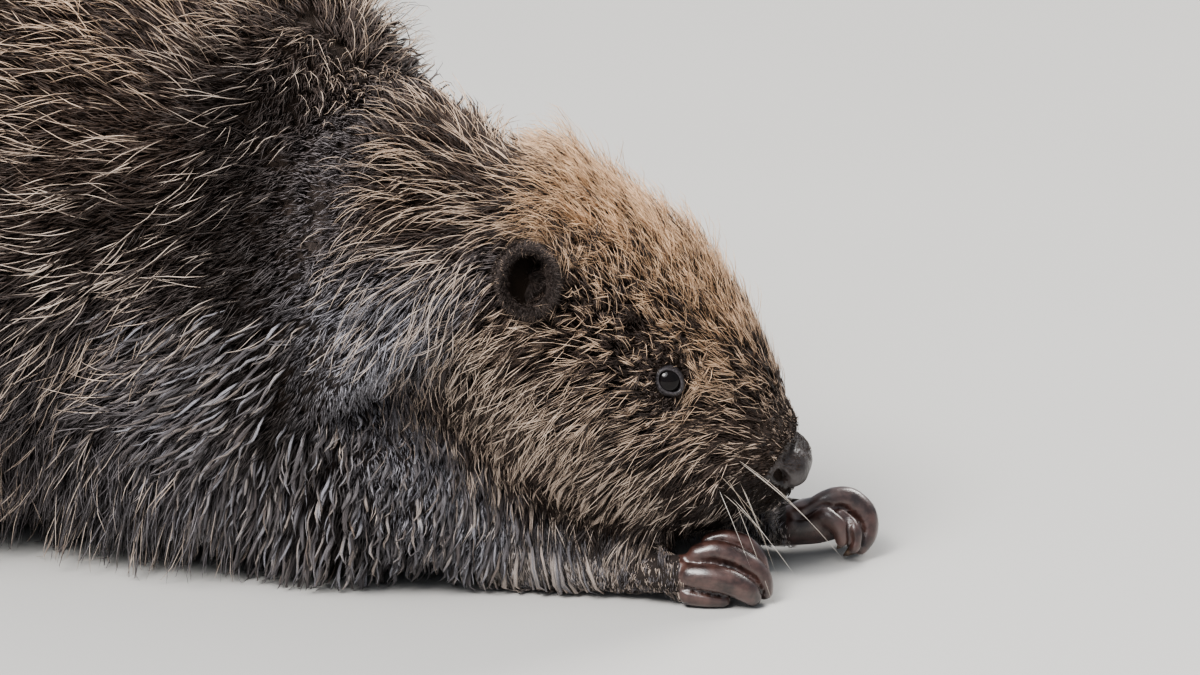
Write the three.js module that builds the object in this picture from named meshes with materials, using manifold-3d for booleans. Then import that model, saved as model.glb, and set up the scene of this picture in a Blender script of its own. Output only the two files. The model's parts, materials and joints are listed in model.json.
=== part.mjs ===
// A life-size beaver, crouched flat on its belly and eating out of both hands.
// Units are millimetres, +Z is up and the floor is z = 0. The trunk and tail lie along X and the animal faces +X,
// with its head turned a little to its own left (+Y). Every solid reaches to the tips of the coat.
import * as THREE from 'three';
import { LoftGeometry } from 'three/addons/geometries/LoftGeometry.js';
import { mergeVertices } from 'three/addons/utils/BufferGeometryUtils.js';
import Module from 'manifold-3d';

const wasm = await Module();
wasm.setup();

// ---------------------------------------------------------------- driving dimensions
const gap = 0.3; // clearance between neighbouring pieces
const seam = 0.42; // and along the body, where one length of it follows the next
const noseTip = new THREE.Vector3(110, 45, 52);
const headYaw = 25; // degrees, to the animal's left
const headPitch = -39; // degrees, nose down

const eyeRadius = 6.2;
const eyeAt = { back: 74, side: 44, up: -1 }; // from the nose tip, in the head's own frame
const earAt = { back: 151, side: 62, up: 0 };
const earSize = { width: 12.5, height: 14.5, depth: 12 };
const earWall = 2.2;

const forearmRadius = 12.5;
const clawRadius = 2.3;
const tailLength = 262; // the bare paddle alone
const tailHalfWidth = 64;
const tailThickness = 17;
const footLength = 104; // heel to the roots of the toes
const webThickness = 3.2;

const degrees = THREE.MathUtils.degToRad;

// ---------------------------------------------------------------- solids from three.js geometry
function solidFrom(geometry, matrix) {
  const shell = new THREE.BufferGeometry()
    .setAttribute('position', geometry.getAttribute('position').clone())
    .setIndex(geometry.getIndex());
  if (matrix) shell.applyMatrix4(matrix);
  const merged = mergeVertices(shell, 1e-4);
  return new wasm.Manifold(new wasm.Mesh({
    numProp: 3,
    vertProperties: merged.attributes.position.array,
    triVerts: new Uint32Array(merged.index.array),
  }));
}

function meshFrom(name, solid, material) {
  const bodies = solid.decompose();
  const whole = bodies.reduce((a, b) => (a.volume() > b.volume() ? a : b));
  const { vertProperties, triVerts } = whole.getMesh();
  const geometry = new THREE.BufferGeometry();
  geometry.setAttribute('position', new THREE.BufferAttribute(vertProperties, 3));
  geometry.setIndex(new THREE.BufferAttribute(triVerts, 1));
  geometry.computeVertexNormals();
  const mesh = new THREE.Mesh(geometry, material);
  mesh.name = name;
  return mesh;
}

const joined = (solids) => solids.reduce((a, b) => a.add(b));
const without = (solid, cutters) => cutters.reduce((a, b) => a.subtract(b), solid);

function floorBox(depth = 200) {
  const box = new THREE.BoxGeometry(2000, 1000, depth);
  return solidFrom(box.translate(0, 0, -depth / 2));
}
const aboveFloor = (solid) => solid.subtract(floorBox());

// A signed power, which turns a circle's sine and cosine into a squarer or a leaner curve.
const signedPower = (value, power) => Math.sign(value) * Math.abs(value) ** power;

// One closed cross section. Its plane faces along yaw and pitch, and it has its own height above and below the middle.
function sectionPoints(section, around, grow) {
  const { x, y = 0, z, yaw = 0, pitch = 0, half, above, below, top = 2, base = 2 } = section;
  const turn = new THREE.Euler(0, -degrees(pitch), degrees(yaw), 'ZYX');
  const points = [];
  for (let i = 0; i < around; i += 1) {
    const angle = (i / around) * Math.PI * 2;
    const upper = Math.sin(angle) >= 0;
    const exponent = 2 / (upper ? top : base);
    const side = signedPower(Math.cos(angle), exponent) * (half + grow);
    const up = signedPower(Math.sin(angle), exponent) * ((upper ? above : below) + grow);
    points.push(new THREE.Vector3(0, side, up).applyEuler(turn).add(new THREE.Vector3(x, y, z)));
  }
  return points;
}

function catmullRom(a, b, c, d, t) {
  const rise = (c - a) / 2;
  const run = (d - b) / 2;
  return ((2 * b - 2 * c + rise + run) * t + (3 * c - 3 * b - 2 * rise - run)) * t * t + rise * t + b;
}

// The section at a place between the given ones, with each of its sizes on a smooth curve through theirs.
function sectionBetween(sections, place) {
  const last = sections.length - 1;
  const i = Math.min(Math.floor(place), last - 1);
  const near = [-1, 0, 1, 2].map((k) => sections[THREE.MathUtils.clamp(i + k, 0, last)]);
  const keys = ['x', 'y', 'z', 'yaw', 'pitch', 'half', 'above', 'below', 'top', 'base'];
  const usual = { y: 0, yaw: 0, pitch: 0, top: 2, base: 2 };
  const made = {};
  for (const key of keys) {
    made[key] = catmullRom(...near.map((s) => s[key] ?? usual[key]), place - i);
  }
  return made;
}

// A section made smaller and moved along its own axis, for rounded ends.
function shrunk(section, scale, shift) {
  const heading = new THREE.Vector3(1, 0, 0)
    .applyEuler(new THREE.Euler(0, -degrees(section.pitch ?? 0), degrees(section.yaw ?? 0), 'ZYX'));
  return {
    ...section,
    x: section.x + heading.x * shift,
    y: (section.y ?? 0) + heading.y * shift,
    z: section.z + heading.z * shift,
    half: section.half * scale,
    above: section.above * scale,
    below: section.below * scale,
  };
}

const domeAngles = [28, 54, 76];

// A body lofted through sections listed from front to back. A dome is how far a rounded end bulges.
function bodyLoft(sections, { steps, around, frontDome = 0, backDome = 0, grow = 0 }) {
  const rings = [];
  for (let i = 0; i <= steps; i += 1) {
    rings.push(sectionBetween(sections, (i / steps) * (sections.length - 1)));
  }
  const dome = (section, bulge) => domeAngles.map((angle) => (
    shrunk(section, Math.cos(degrees(angle)), Math.sin(degrees(angle)) * bulge)
  ));
  rings[0] = shrunk(rings[0], 1, grow);
  rings[steps] = shrunk(rings[steps], 1, -grow);
  const front = frontDome ? dome(rings[0], frontDome).reverse() : [];
  const back = backDome ? dome(rings[steps], -backDome) : [];
  const all = [...front, ...rings, ...back].reverse();
  return solidFrom(new LoftGeometry(
    all.map((ring) => sectionPoints(ring, around, grow)),
    { capStart: true, capEnd: true },
  ));
}

// A tapering limb, finger, toe or claw along a smooth curve. Each point carries its own radius.
// Flat squashes it at right angles to the sideways direction, which stays near Y all along. Ends is how many rings
// round off each end.
function limb(points, { steps, around, flat = 1, ends = 2, grow = 0, matrix }) {
  const curve = new THREE.CatmullRomCurve3(points.map(([x, y, z]) => new THREE.Vector3(x, y, z)));
  const radii = points.map((p) => p[3]);
  const ring = (place, radius, shift = 0) => {
    const ahead = curve.getTangent(place);
    const up = ahead.clone().cross(new THREE.Vector3(0, 1, 0)).normalize();
    const side = up.clone().cross(ahead);
    const beyond = place === 0 ? -grow : place === 1 ? grow : 0;
    const middle = curve.getPoint(place).addScaledVector(ahead, shift + beyond);
    return Array.from({ length: around }, (_, i) => {
      const angle = (i / around) * Math.PI * 2;
      return middle.clone()
        .addScaledVector(side, Math.cos(angle) * (radius + grow))
        .addScaledVector(up, Math.sin(angle) * (radius * flat + grow));
    });
  };
  const root = radii[0];
  const tip = radii[radii.length - 1];
  const bulge = (angle) => [Math.cos(degrees(angle)), Math.sin(degrees(angle))];
  const angles = [[], [50], [70, 35]][ends];
  const rings = angles.map((angle) => ring(0, root * bulge(angle)[0], -root * bulge(angle)[1]));
  for (let k = 0; k <= steps; k += 1) {
    const place = (k / steps) * (radii.length - 1);
    const i = Math.min(Math.floor(place), radii.length - 2);
    rings.push(ring(k / steps, THREE.MathUtils.lerp(radii[i], radii[i + 1], place - i)));
  }
  rings.push(...angles.toReversed().map((angle) => ring(1, tip * bulge(angle)[0], tip * bulge(angle)[1])));
  return solidFrom(new LoftGeometry(rings, { capStart: true, capEnd: true }), matrix);
}

function ellipsoid({ x, y, z, length, half, height, yaw = 0, pitch = 0 }, columns, rows, grow = 0) {
  const matrix = new THREE.Matrix4().compose(
    new THREE.Vector3(x, y, z),
    new THREE.Quaternion().setFromEuler(new THREE.Euler(0, -degrees(pitch), degrees(yaw), 'ZYX')),
    new THREE.Vector3(length + grow, half + grow, height + grow),
  );
  return solidFrom(new THREE.SphereGeometry(1, columns, rows).rotateX(Math.PI / 2), matrix);
}

// ---------------------------------------------------------------- head
// Places in the head's own frame: back from the nose tip along the tilted axis, to the left, and up from it.
const headFrame = new THREE.Matrix4().compose(
  noseTip,
  new THREE.Quaternion().setFromEuler(new THREE.Euler(0, -degrees(headPitch), degrees(headYaw), 'ZYX')),
  new THREE.Vector3(1, 1, 1),
);
const onHead = (back, side, up) => new THREE.Vector3(-back, side, up).applyMatrix4(headFrame);

function headSection({ back, middle, half, crown, chin, top = 2, base = 2 }) {
  const at = onHead(back, 0, middle);
  return {
    x: at.x, y: at.y, z: at.z, yaw: headYaw, pitch: headPitch, half, above: crown - middle, below: middle - chin, top, base,
  };
}

// Crown and chin are the outline's heights over the nose tip, and middle is where the head is widest.
const headSections = [
  { back: 7, middle: -18, half: 19, crown: -1, chin: -35, base: 2.2 }, // lips and nose
  { back: 15, middle: -24, half: 28, crown: 8, chin: -50, base: 2.2 },
  { back: 29, middle: -29, half: 36, crown: 15, chin: -66, top: 2.1, base: 2.2 }, // muzzle
  { back: 44, middle: -31, half: 42, crown: 25, chin: -78, top: 2.1, base: 2.2 },
  { back: 60, middle: -30, half: 47.5, crown: 31.5, chin: -87, top: 2.1 },
  { back: 78, middle: -28, half: 53.5, crown: 37, chin: -91, top: 2 }, // eyes
  { back: 98, middle: -24, half: 60, crown: 41, chin: -91, top: 1.95 }, // cheeks
  { back: 120, middle: -20, half: 65, crown: 40, chin: -87, top: 2 },
  { back: 142, middle: -16, half: 68, crown: 38, chin: -83 }, // ears
  { back: 160, middle: -13, half: 70, crown: 36, chin: -82 }, // nape
].map(headSection);
const nape = headSections[headSections.length - 1];

const headLoft = (grow = 0) => bodyLoft(headSections, { steps: 10, around: 20, frontDome: 9, grow });

function eyeball(side, grow = 0) {
  const at = onHead(eyeAt.back, side * eyeAt.side, eyeAt.up);
  return ellipsoid({ ...at, length: eyeRadius, half: eyeRadius, height: eyeRadius }, 9, 6, grow);
}

// The bare pad round the nostrils, broad above and narrow at the lip.
function nosePad(grow = 0) {
  const at = onHead(12, 0, -12.5);
  return ellipsoid({ ...at, length: 15, half: 16, height: 18, yaw: headYaw, pitch: headPitch - 6 }, 10, 7, grow);
}

// A round cupped ear, open to the side and a little forward.
function ear(side, grow = 0) {
  const at = onHead(earAt.back, side * earAt.side, earAt.up);
  const outward = { yaw: headYaw + side * 72, pitch: 12 };
  const shell = ellipsoid({
    ...at, ...outward, length: earSize.depth, half: earSize.width, height: earSize.height,
  }, 9, 6, grow);
  if (grow) return shell;
  const mouth = new THREE.Vector3(earSize.depth * 0.75, 0, 0)
    .applyEuler(new THREE.Euler(0, -degrees(outward.pitch), degrees(outward.yaw), 'ZYX'))
    .add(at);
  const hollow = ellipsoid({
    ...mouth,
    ...outward,
    length: earSize.depth,
    half: earSize.width - earWall,
    height: earSize.height - earWall,
  }, 9, 6);
  return shell.subtract(hollow);
}

// ---------------------------------------------------------------- neck and trunk
const shoulder = { x: -62, y: -12, z: 122, yaw: 8, pitch: -28, half: 86, above: 82, below: 120, base: 2.5 };
const neckSections = [
  shrunk(nape, 1, -seam),
  { x: -34, y: -16, z: 134, yaw: 18, pitch: -34, half: 78, above: 57, below: 108, base: 2.4 },
  shoulder,
];
const neckLoft = () => bodyLoft(neckSections, { steps: 2, around: 18 });

const chestSections = [
  shrunk(shoulder, 1, -seam),
  { x: -90, y: -8, z: 122, yaw: 4, pitch: -22, half: 94, above: 94, below: 126, base: 2.6 },
  { x: -128, y: -4, z: 126, pitch: -17, half: 102, above: 104, below: 132, base: 2.6 },
  { x: -178, y: -2, z: 128, pitch: -8, half: 100, above: 104, below: 130, base: 2.5 },
];
const breast = { x: -68, y: -10, z: 50, length: 86, half: 72, height: 57 };

// The arched back: the rounded mass behind the fold at the shoulder.
const backSections = [
  { x: -114, y: -5, z: 136, pitch: -36, half: 92, above: 96, below: 104 },
  { x: -146, y: -6, z: 139, pitch: -28, half: 112, above: 119, below: 128, base: 2.4 },
  { x: -188, y: -7, z: 139, pitch: -16, half: 125, above: 136, below: 142, base: 2.6 },
  { x: -242, y: -6, z: 139, pitch: -4, half: 131, above: 145, below: 145, base: 2.7 }, // highest
  { x: -304, y: -2, z: 136, pitch: 8, half: 132, above: 142, below: 142, base: 2.7 },
  { x: -364, z: 126, pitch: 20, half: 124, above: 124, below: 133, base: 2.5 }, // hips
  { x: -414, z: 104, pitch: 32, half: 102, above: 96, below: 107, base: 2.2 },
  { x: -452, z: 80, pitch: 40, half: 76, above: 66, below: 72 }, // rump
];
const rump = backSections[backSections.length - 1];

function trunkSolid(grow = 0) {
  return joined([
    bodyLoft(chestSections, { steps: 3, around: 18, backDome: 30, grow }),
    ellipsoid(breast, 14, 8, grow),
    bodyLoft(backSections, { steps: 8, around: 22, frontDome: 32, grow }),
  ]);
}

// ---------------------------------------------------------------- tail
const tailRoot = { x: -484, z: 54, pitch: 38, half: 51, above: 42, below: 44 };
const tailRootSections = [
  shrunk(rump, 1, -seam),
  tailRoot,
  { x: -512, z: 33, pitch: 24, half: 40, above: 27, below: 31 },
  { x: -540, z: 19, half: 36, above: 16, below: 22 },
];
const paddleStart = tailRootSections[tailRootSections.length - 1].x;

// The paddle's half width grows quickly behind the root, is greatest past the middle and closes in a round tip.
function paddleHalf(t) {
  const opening = THREE.MathUtils.lerp(34, tailHalfWidth, Math.sin((Math.min(t / 0.55, 1) * Math.PI) / 2));
  const closing = t < 0.55 ? 1 : Math.sqrt(Math.max(0, 1 - ((t - 0.55) / 0.45) ** 2.6));
  return opening * closing;
}

function paddle() {
  const sections = [];
  const steps = 11;
  for (let i = 0; i <= steps; i += 1) {
    const t = Math.sin(((i / steps) * Math.PI) / 2) * 0.992;
    const thick = tailThickness * (1 - 0.55 * t);
    sections.push({
      x: paddleStart - gap - t * tailLength,
      z: thick * 0.5,
      half: paddleHalf(t),
      above: THREE.MathUtils.lerp(20, thick * 0.62, Math.min(t * 5, 1)),
      below: thick * 0.5 + 2,
      top: 1.6,
      base: 2.6,
    });
  }
  return bodyLoft(sections, { steps, around: 12 });
}

// ---------------------------------------------------------------- forelegs
// Wrist, elbow and shoulder of each arm; the forearms lie on the floor.
const arms = {
  right: {
    side: -1, shoulder: [-72, -52, 76], elbow: [2, -22, 20], wrist: [73, -8, 14], hand: [74, -9, 15], yaw: 24, roll: 62,
  },
  left: {
    side: 1, shoulder: [-62, 40, 76], elbow: [22, 62, 20], wrist: [99, 63, 15], hand: [100, 63, 16], yaw: 8, roll: -60,
  },
};

const upperArm = ({ side, shoulder: [sx, sy, sz], elbow: [ex, ey, ez] }, grow = 0) => limb([
  [sx, sy, sz, 40],
  [(sx + ex) / 2 - 6, (sy + ey) / 2 + side * 6, (sz + ez) / 2 + 2, 33],
  [ex, ey, ez, 21],
], { steps: 3, around: 10, ends: 1, grow });

const forearm = ({ elbow: [ex, ey], wrist: [wx, wy, wz] }, grow = 0) => limb([
  [ex, ey, 16, 18],
  [THREE.MathUtils.lerp(ex, wx, 0.35), THREE.MathUtils.lerp(ey, wy, 0.35), 14, 15],
  [THREE.MathUtils.lerp(ex, wx, 0.7), THREE.MathUtils.lerp(ey, wy, 0.7), 12.5, forearmRadius],
  [wx, wy, wz, 11],
], { steps: 4, around: 9, ends: 1, grow });

// A closed hand in its own frame: the wrist is the origin, +X runs to the knuckles and +Z is the back of it.
// Both hands stand on their outer edge with the thumb side up.
const handFrame = ({ hand, yaw, roll }) => new THREE.Matrix4().compose(
  new THREE.Vector3(...hand),
  new THREE.Quaternion().setFromEuler(new THREE.Euler(degrees(roll), degrees(2), degrees(yaw), 'ZYX')),
  new THREE.Vector3(1, 1, 1),
);

// Fingers from the inner one outward: how far across the knuckle is, and how long the finger is.
const fingers = [
  { name: 'index', across: -9.6, length: 0.92, radius: 4.6 },
  { name: 'middle', across: -3.2, length: 1.04, radius: 5 },
  { name: 'ring', across: 3.4, length: 1, radius: 5 },
  { name: 'little', across: 9.8, length: 0.86, radius: 4.5 },
];

// The points of one finger, which runs out over its knuckle and curls back under the palm.
function fingerPath({ across, length, radius }, side) {
  const y = side * across;
  return [
    [10, y * 0.85, 3, radius],
    [10 + 16 * length, y, 5, radius * 1.08],
    [10 + 25 * length, y, -1.5, radius],
    [10 + 21 * length, y * 0.96, -10, radius * 0.84],
    [10 + 12 * length, y * 0.92, -12.5, radius * 0.7],
  ];
}
const thumbPath = (side) => [[4, -side * 9, -6, 4.6], [11, -side * 13, -11, 4.1], [16, -side * 14, -15, 3.1]];
const digitPaths = (side) => [...fingers.map((finger) => fingerPath(finger, side)), thumbPath(side)];
const digitNames = [...fingers.map((finger) => finger.name), 'thumb'];

function handSolid(arm, grow = 0) {
  const matrix = handFrame(arm);
  const palm = limb([
    [-5, 0, -1, 11],
    [8, 0, -1, 14],
    [22, 0, -2, 13],
  ], { steps: 2, around: 8, flat: 0.74, ends: 1, grow, matrix });
  const digits = digitPaths(arm.side).map((path) => limb(path, { steps: 4, around: 5, ends: 1, grow, matrix }));
  return joined([palm, ...digits]);
}

// A claw carries on where its finger ends, along the palm; the thumb's points forward.
function handClaw(arm, path, grow = 0) {
  const [x, y, z] = path[path.length - 1];
  const reach = path.length > 3 ? [-5, -1.3, -10, -0.4] : [5, -3, 9, -4.6];
  return limb([
    [x, y, z, clawRadius],
    [x + reach[0], y, z + reach[1], clawRadius * 0.8],
    [x + reach[2], y, z + reach[3], clawRadius * 0.3],
  ], { steps: 2, around: 5, ends: 0, grow, matrix: handFrame(arm) });
}

// ---------------------------------------------------------------- hind legs
const hindFeet = { x: -394, spread: 106, toeOut: 9 };

const thigh = (side, grow = 0) => ellipsoid({
  x: -336, y: side * 91, z: 82, length: 98, half: 49, height: 78, yaw: side * -5, pitch: 10,
}, 14, 8, grow);

const footFrame = (side) => new THREE.Matrix4().compose(
  new THREE.Vector3(hindFeet.x, side * hindFeet.spread, 0),
  new THREE.Quaternion().setFromEuler(new THREE.Euler(0, 0, side * degrees(hindFeet.toeOut))),
  new THREE.Vector3(1, 1, 1),
);

// Toes from the inner one outward, fanned from the ball of the foot.
const toes = [
  { name: 'first', fan: -24, length: 50, radius: 6.4 },
  { name: 'second', fan: -13, length: 62, radius: 7 },
  { name: 'third', fan: -1, length: 70, radius: 7.6 },
  { name: 'fourth', fan: 11, length: 68, radius: 7.6 },
  { name: 'fifth', fan: 24, length: 56, radius: 6.8 },
];
const toeRoot = footLength - 12;

function toePath({ fan, length, radius }, side) {
  const ahead = Math.cos(degrees(fan));
  const out = side * Math.sin(degrees(fan));
  const root = side * fan * 1.05;
  return [
    [toeRoot - 22, root * 0.7, 10, radius * 1.15],
    [toeRoot, root, 9, radius * 1.15],
    [toeRoot + ahead * length * 0.55, root + out * length * 0.55, 7, radius],
    [toeRoot + ahead * length, root + out * length, 5, radius * 0.78],
  ];
}

// The skin between the toes, with its edge drawn in a little from one toe tip to the next.
function web(side, matrix) {
  const tips = toes.map((toe) => toePath(toe, side)[3]);
  const outline = new THREE.Shape();
  outline.moveTo(toeRoot - 20, -24);
  const ordered = side > 0 ? tips : tips.toReversed();
  ordered.forEach(([x, y], i) => {
    if (i === 0) {
      outline.lineTo(x - 2, y);
      return;
    }
    const [px, py] = ordered[i - 1];
    outline.quadraticCurveTo((px + x) / 2 - 11, (py + y) / 2, x - 2, y);
  });
  outline.lineTo(toeRoot - 20, 24);
  const plate = new THREE.ExtrudeGeometry(outline, { depth: webThickness, bevelEnabled: false, curveSegments: 1 });
  return solidFrom(plate.translate(0, 0, 2), matrix);
}

function hindFoot(side, grow = 0) {
  const matrix = footFrame(side);
  const sole = bodyLoft([
    { x: footLength - 4, z: 10, half: 29, above: 9, below: 11, base: 3 },
    { x: 62, z: 13, half: 24, above: 14, below: 14, base: 3 },
    { x: 28, z: 19, half: 19, above: 22, below: 20, base: 2.8 },
    { x: 2, z: 19, half: 16, above: 24, below: 19.5, base: 2.6 },
  ], { steps: 3, around: 10, backDome: 14, grow });
  const placed = sole.transform(matrix.toArray());
  const digits = toes.map((toe) => limb(toePath(toe, side), { steps: 2, around: 5, ends: 1, grow, matrix }));
  return joined([placed, web(side, matrix), ...digits]);
}

function toeClaw(side, toe, grow = 0) {
  const [x, y, z] = toePath(toe, side)[3];
  const ahead = Math.cos(degrees(toe.fan));
  const out = side * Math.sin(degrees(toe.fan));
  return limb([
    [x + ahead, y + out, z + 1.6, clawRadius * 1.25],
    [x + ahead * 8, y + out * 8, z + 1, clawRadius],
    [x + ahead * 15, y + out * 15, z - 2.6, clawRadius * 0.45],
  ], { steps: 2, around: 5, ends: 0, grow, matrix: footFrame(side) });
}

// ---------------------------------------------------------------- finishes
const finish = (color, roughness) => new THREE.MeshStandardMaterial({ color, roughness, metalness: 0 });
const fur = finish(0x4a3626, 0.85);
const headFur = finish(0x6b4a2e, 0.85);
const bareSkin = finish(0x3d2620, 0.45);
const tailSkin = finish(0x3a3330, 0.6);
const noseSkin = finish(0x352c2a, 0.4);
const eyeGlass = finish(0x0c0908, 0.08);
const horn = finish(0x2c211b, 0.4);

// ---------------------------------------------------------------- the animal
const beaver = new THREE.Group();
const add = (name, solid, material) => beaver.add(meshFrom(name, solid, material));

const sides = { right: -1, left: 1 };
const headGrown = headLoft(gap);
const trunkGrown = trunkSolid(gap);
const eyes = Object.fromEntries(Object.entries(sides).map(([name, side]) => [name, eyeball(side)]));
const sockets = Object.values(sides).map((side) => eyeball(side, gap));

add('head', without(headLoft(), [...sockets, nosePad(gap)]), headFur);
add('nose', nosePad(), noseSkin);
for (const [name, side] of Object.entries(sides)) {
  add(`${name}_eye`, eyes[name], eyeGlass);
  add(`${name}_ear`, without(ear(side), [headGrown]), headFur);
}

const handsGrown = Object.values(arms).map((arm) => handSolid(arm, gap));
const forearmsGrown = Object.values(arms).map((arm) => forearm(arm, gap));
const earsGrown = Object.values(sides).map((side) => ear(side, gap));
const upperArmsGrown = Object.values(arms).map((arm) => upperArm(arm, gap));
const thighsGrown = Object.values(sides).map((side) => thigh(side, gap));
const feetGrown = Object.values(sides).map((side) => hindFoot(side, gap));

add('neck', without(neckLoft(), [trunkGrown, headGrown, ...earsGrown, ...upperArmsGrown]), fur);
add('trunk', aboveFloor(without(trunkSolid(), [headGrown, ...upperArmsGrown, ...thighsGrown, ...feetGrown])), fur);

Object.entries(arms).forEach(([name, arm], i) => {
  const paths = digitPaths(arm.side);
  const clawsGrown = paths.map((path) => handClaw(arm, path, gap));
  add(`${name}_upper_arm`, aboveFloor(without(upperArm(arm), [headGrown, forearmsGrown[i]])), fur);
  add(`${name}_forearm`, aboveFloor(without(forearm(arm), [headGrown, handsGrown[i]])), fur);
  add(`${name}_hand`, aboveFloor(without(handSolid(arm), clawsGrown)), bareSkin);
  paths.forEach((path, k) => add(`${name}_${digitNames[k]}_claw`, aboveFloor(handClaw(arm, path)), horn));
});

Object.entries(sides).forEach(([name, side], i) => {
  const clawsGrown = toes.map((toe) => toeClaw(side, toe, gap));
  add(`${name}_thigh`, aboveFloor(without(thigh(side), [feetGrown[i]])), fur);
  add(`${name}_hind_foot`, aboveFloor(without(hindFoot(side), clawsGrown)), bareSkin);
  toes.forEach((toe) => add(`${name}_${toe.name}_toe_claw`, aboveFloor(toeClaw(side, toe)), horn));
});

add('tail_root', aboveFloor(without(bodyLoft(tailRootSections, { steps: 3, around: 18 }), thighsGrown)), fur);
add('tail_paddle', aboveFloor(paddle()), tailSkin);

// The origin is on the floor, under the middle of the animal's bounding box.
const bounds = new THREE.Box3().setFromObject(beaver);
const middle = bounds.getCenter(new THREE.Vector3());
beaver.position.set(-middle.x, -middle.y, -bounds.min.z);

export default beaver;
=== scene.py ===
# %% [markdown]
# # A life-size beaver, crouched and feeding
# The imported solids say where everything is. This notebook puts one soft skin inside them, grows a coat of
# solid mesh hair on that skin, and adds the eyes, lids, nose, claws, whiskers and tail scales.
# Everything is in metres. +X runs from the tail to the head, +Y is the animal's left, and z = 0 is the floor.

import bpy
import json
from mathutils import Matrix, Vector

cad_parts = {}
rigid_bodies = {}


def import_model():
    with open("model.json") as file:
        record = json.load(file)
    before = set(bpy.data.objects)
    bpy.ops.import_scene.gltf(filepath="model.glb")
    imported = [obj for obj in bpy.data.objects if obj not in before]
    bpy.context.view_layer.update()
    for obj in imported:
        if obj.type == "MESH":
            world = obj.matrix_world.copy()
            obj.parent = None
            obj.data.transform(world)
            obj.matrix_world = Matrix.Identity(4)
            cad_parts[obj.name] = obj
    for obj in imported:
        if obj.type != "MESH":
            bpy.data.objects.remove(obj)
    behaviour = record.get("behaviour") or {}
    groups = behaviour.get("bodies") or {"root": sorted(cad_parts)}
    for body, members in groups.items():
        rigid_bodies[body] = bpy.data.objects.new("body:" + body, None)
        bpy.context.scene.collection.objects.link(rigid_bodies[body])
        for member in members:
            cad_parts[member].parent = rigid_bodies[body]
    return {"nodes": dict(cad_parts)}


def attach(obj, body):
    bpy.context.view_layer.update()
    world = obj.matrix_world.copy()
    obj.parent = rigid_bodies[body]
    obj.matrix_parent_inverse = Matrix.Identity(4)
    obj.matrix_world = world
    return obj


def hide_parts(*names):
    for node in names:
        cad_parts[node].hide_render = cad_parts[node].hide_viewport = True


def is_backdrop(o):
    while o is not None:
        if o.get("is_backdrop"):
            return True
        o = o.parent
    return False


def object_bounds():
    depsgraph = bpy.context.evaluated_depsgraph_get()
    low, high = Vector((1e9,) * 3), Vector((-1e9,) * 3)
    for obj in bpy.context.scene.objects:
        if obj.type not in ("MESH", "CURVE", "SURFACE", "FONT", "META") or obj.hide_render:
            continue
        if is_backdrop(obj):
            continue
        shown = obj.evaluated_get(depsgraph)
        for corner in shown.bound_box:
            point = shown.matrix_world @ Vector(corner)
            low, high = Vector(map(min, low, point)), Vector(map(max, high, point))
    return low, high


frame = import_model()
cad_box = [list(corner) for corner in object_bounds()]

import json
import math
import time

import bmesh
import bpy
import numpy as np
from mathutils import Euler, Matrix, Vector
from mathutils.bvhtree import BVHTree

scene = bpy.context.scene
started = time.time()
rng = np.random.default_rng(11)
SIDES = {"right": -1, "left": 1}  # the sign of each side's Y


def clock():
    return f"after {time.time() - started:.1f} s"


def in_mm(values):
    return f"{values.min() * 1000:.1f} to {values.max() * 1000:.1f} mm"


print("the solids' box:", cad_box)

# %% [markdown]
# ## The head's own frame
# The head is tilted nose down and turned to the animal's left. `on_head` turns sizes measured on the head
# (millimetres back from the nose tip, to the left, and up) into places in the scene, and `in_head` does
# the opposite for many points at once.

# %% The head's frame
NOSE_TIP = Vector((0.4399, 0.0449, 0.052))
HEAD_TURN = Euler((0, math.radians(39), math.radians(25)), "XYZ").to_matrix()
FORWARD, LEFT, UP = (np.array(HEAD_TURN.col[i]) for i in range(3))
HEAD_AXES = np.stack([-FORWARD, LEFT, UP], 1)


def on_head(back, side, up):
    return Vector(np.array(NOSE_TIP) + HEAD_AXES @ np.array([back, side, up]) / 1000)


def in_head(places):
    return (np.asarray(places) - np.array(NOSE_TIP)) @ HEAD_AXES * 1000


EYE_BACK, EYE_OUT, EYE_UP = 76, 44.5, -1
EAR_BACK, EAR_OUT = 151, 62
EYES = {side: on_head(EYE_BACK, s * EYE_OUT, EYE_UP) for side, s in SIDES.items()}
EARS = {side: on_head(EAR_BACK, s * EAR_OUT, 0) for side, s in SIDES.items()}
print("right eye at", [round(c, 3) for c in EYES["right"]])

# %% [markdown]
# ## Camera
# A long lens three metres away looks slightly down on the animal's right side. A long lens keeps the head
# and the body in their true proportions, as an animal is seen from a distance.

# %% Camera
AZIMUTH, ELEVATION, DISTANCE, LENS_MM = math.radians(25), math.radians(18), 3.0, 220.5
ACROSS = Vector((math.cos(AZIMUTH), math.sin(AZIMUTH), 0))
AWAY = Vector((-math.sin(AZIMUTH), math.cos(AZIMUTH), 0))
target = NOSE_TIP + ACROSS * -0.0869 + AWAY * -0.010 + Vector((0, 0, 0.0536))
looking = AWAY * math.cos(ELEVATION) - Vector((0, 0, math.sin(ELEVATION)))
camera = bpy.data.objects.new("camera", bpy.data.cameras.new("camera"))
camera.data.lens, camera.data.sensor_width = LENS_MM, 36
camera.data.clip_start, camera.data.clip_end = 0.1, 60
camera.location = target - looking * DISTANCE
camera.rotation_euler = looking.to_track_quat("-Z", "Y").to_euler()
scene.collection.objects.link(camera)
scene.camera = camera
print("camera at", [round(c, 2) for c in camera.location])

# %% [markdown]
# ## Small helpers
# Meshes with thousands of parts are quickest to make from arrays. The rest are bmesh shapes, finished with
# modifiers that are baked into the mesh, so that every piece ends up as plain geometry.


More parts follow.
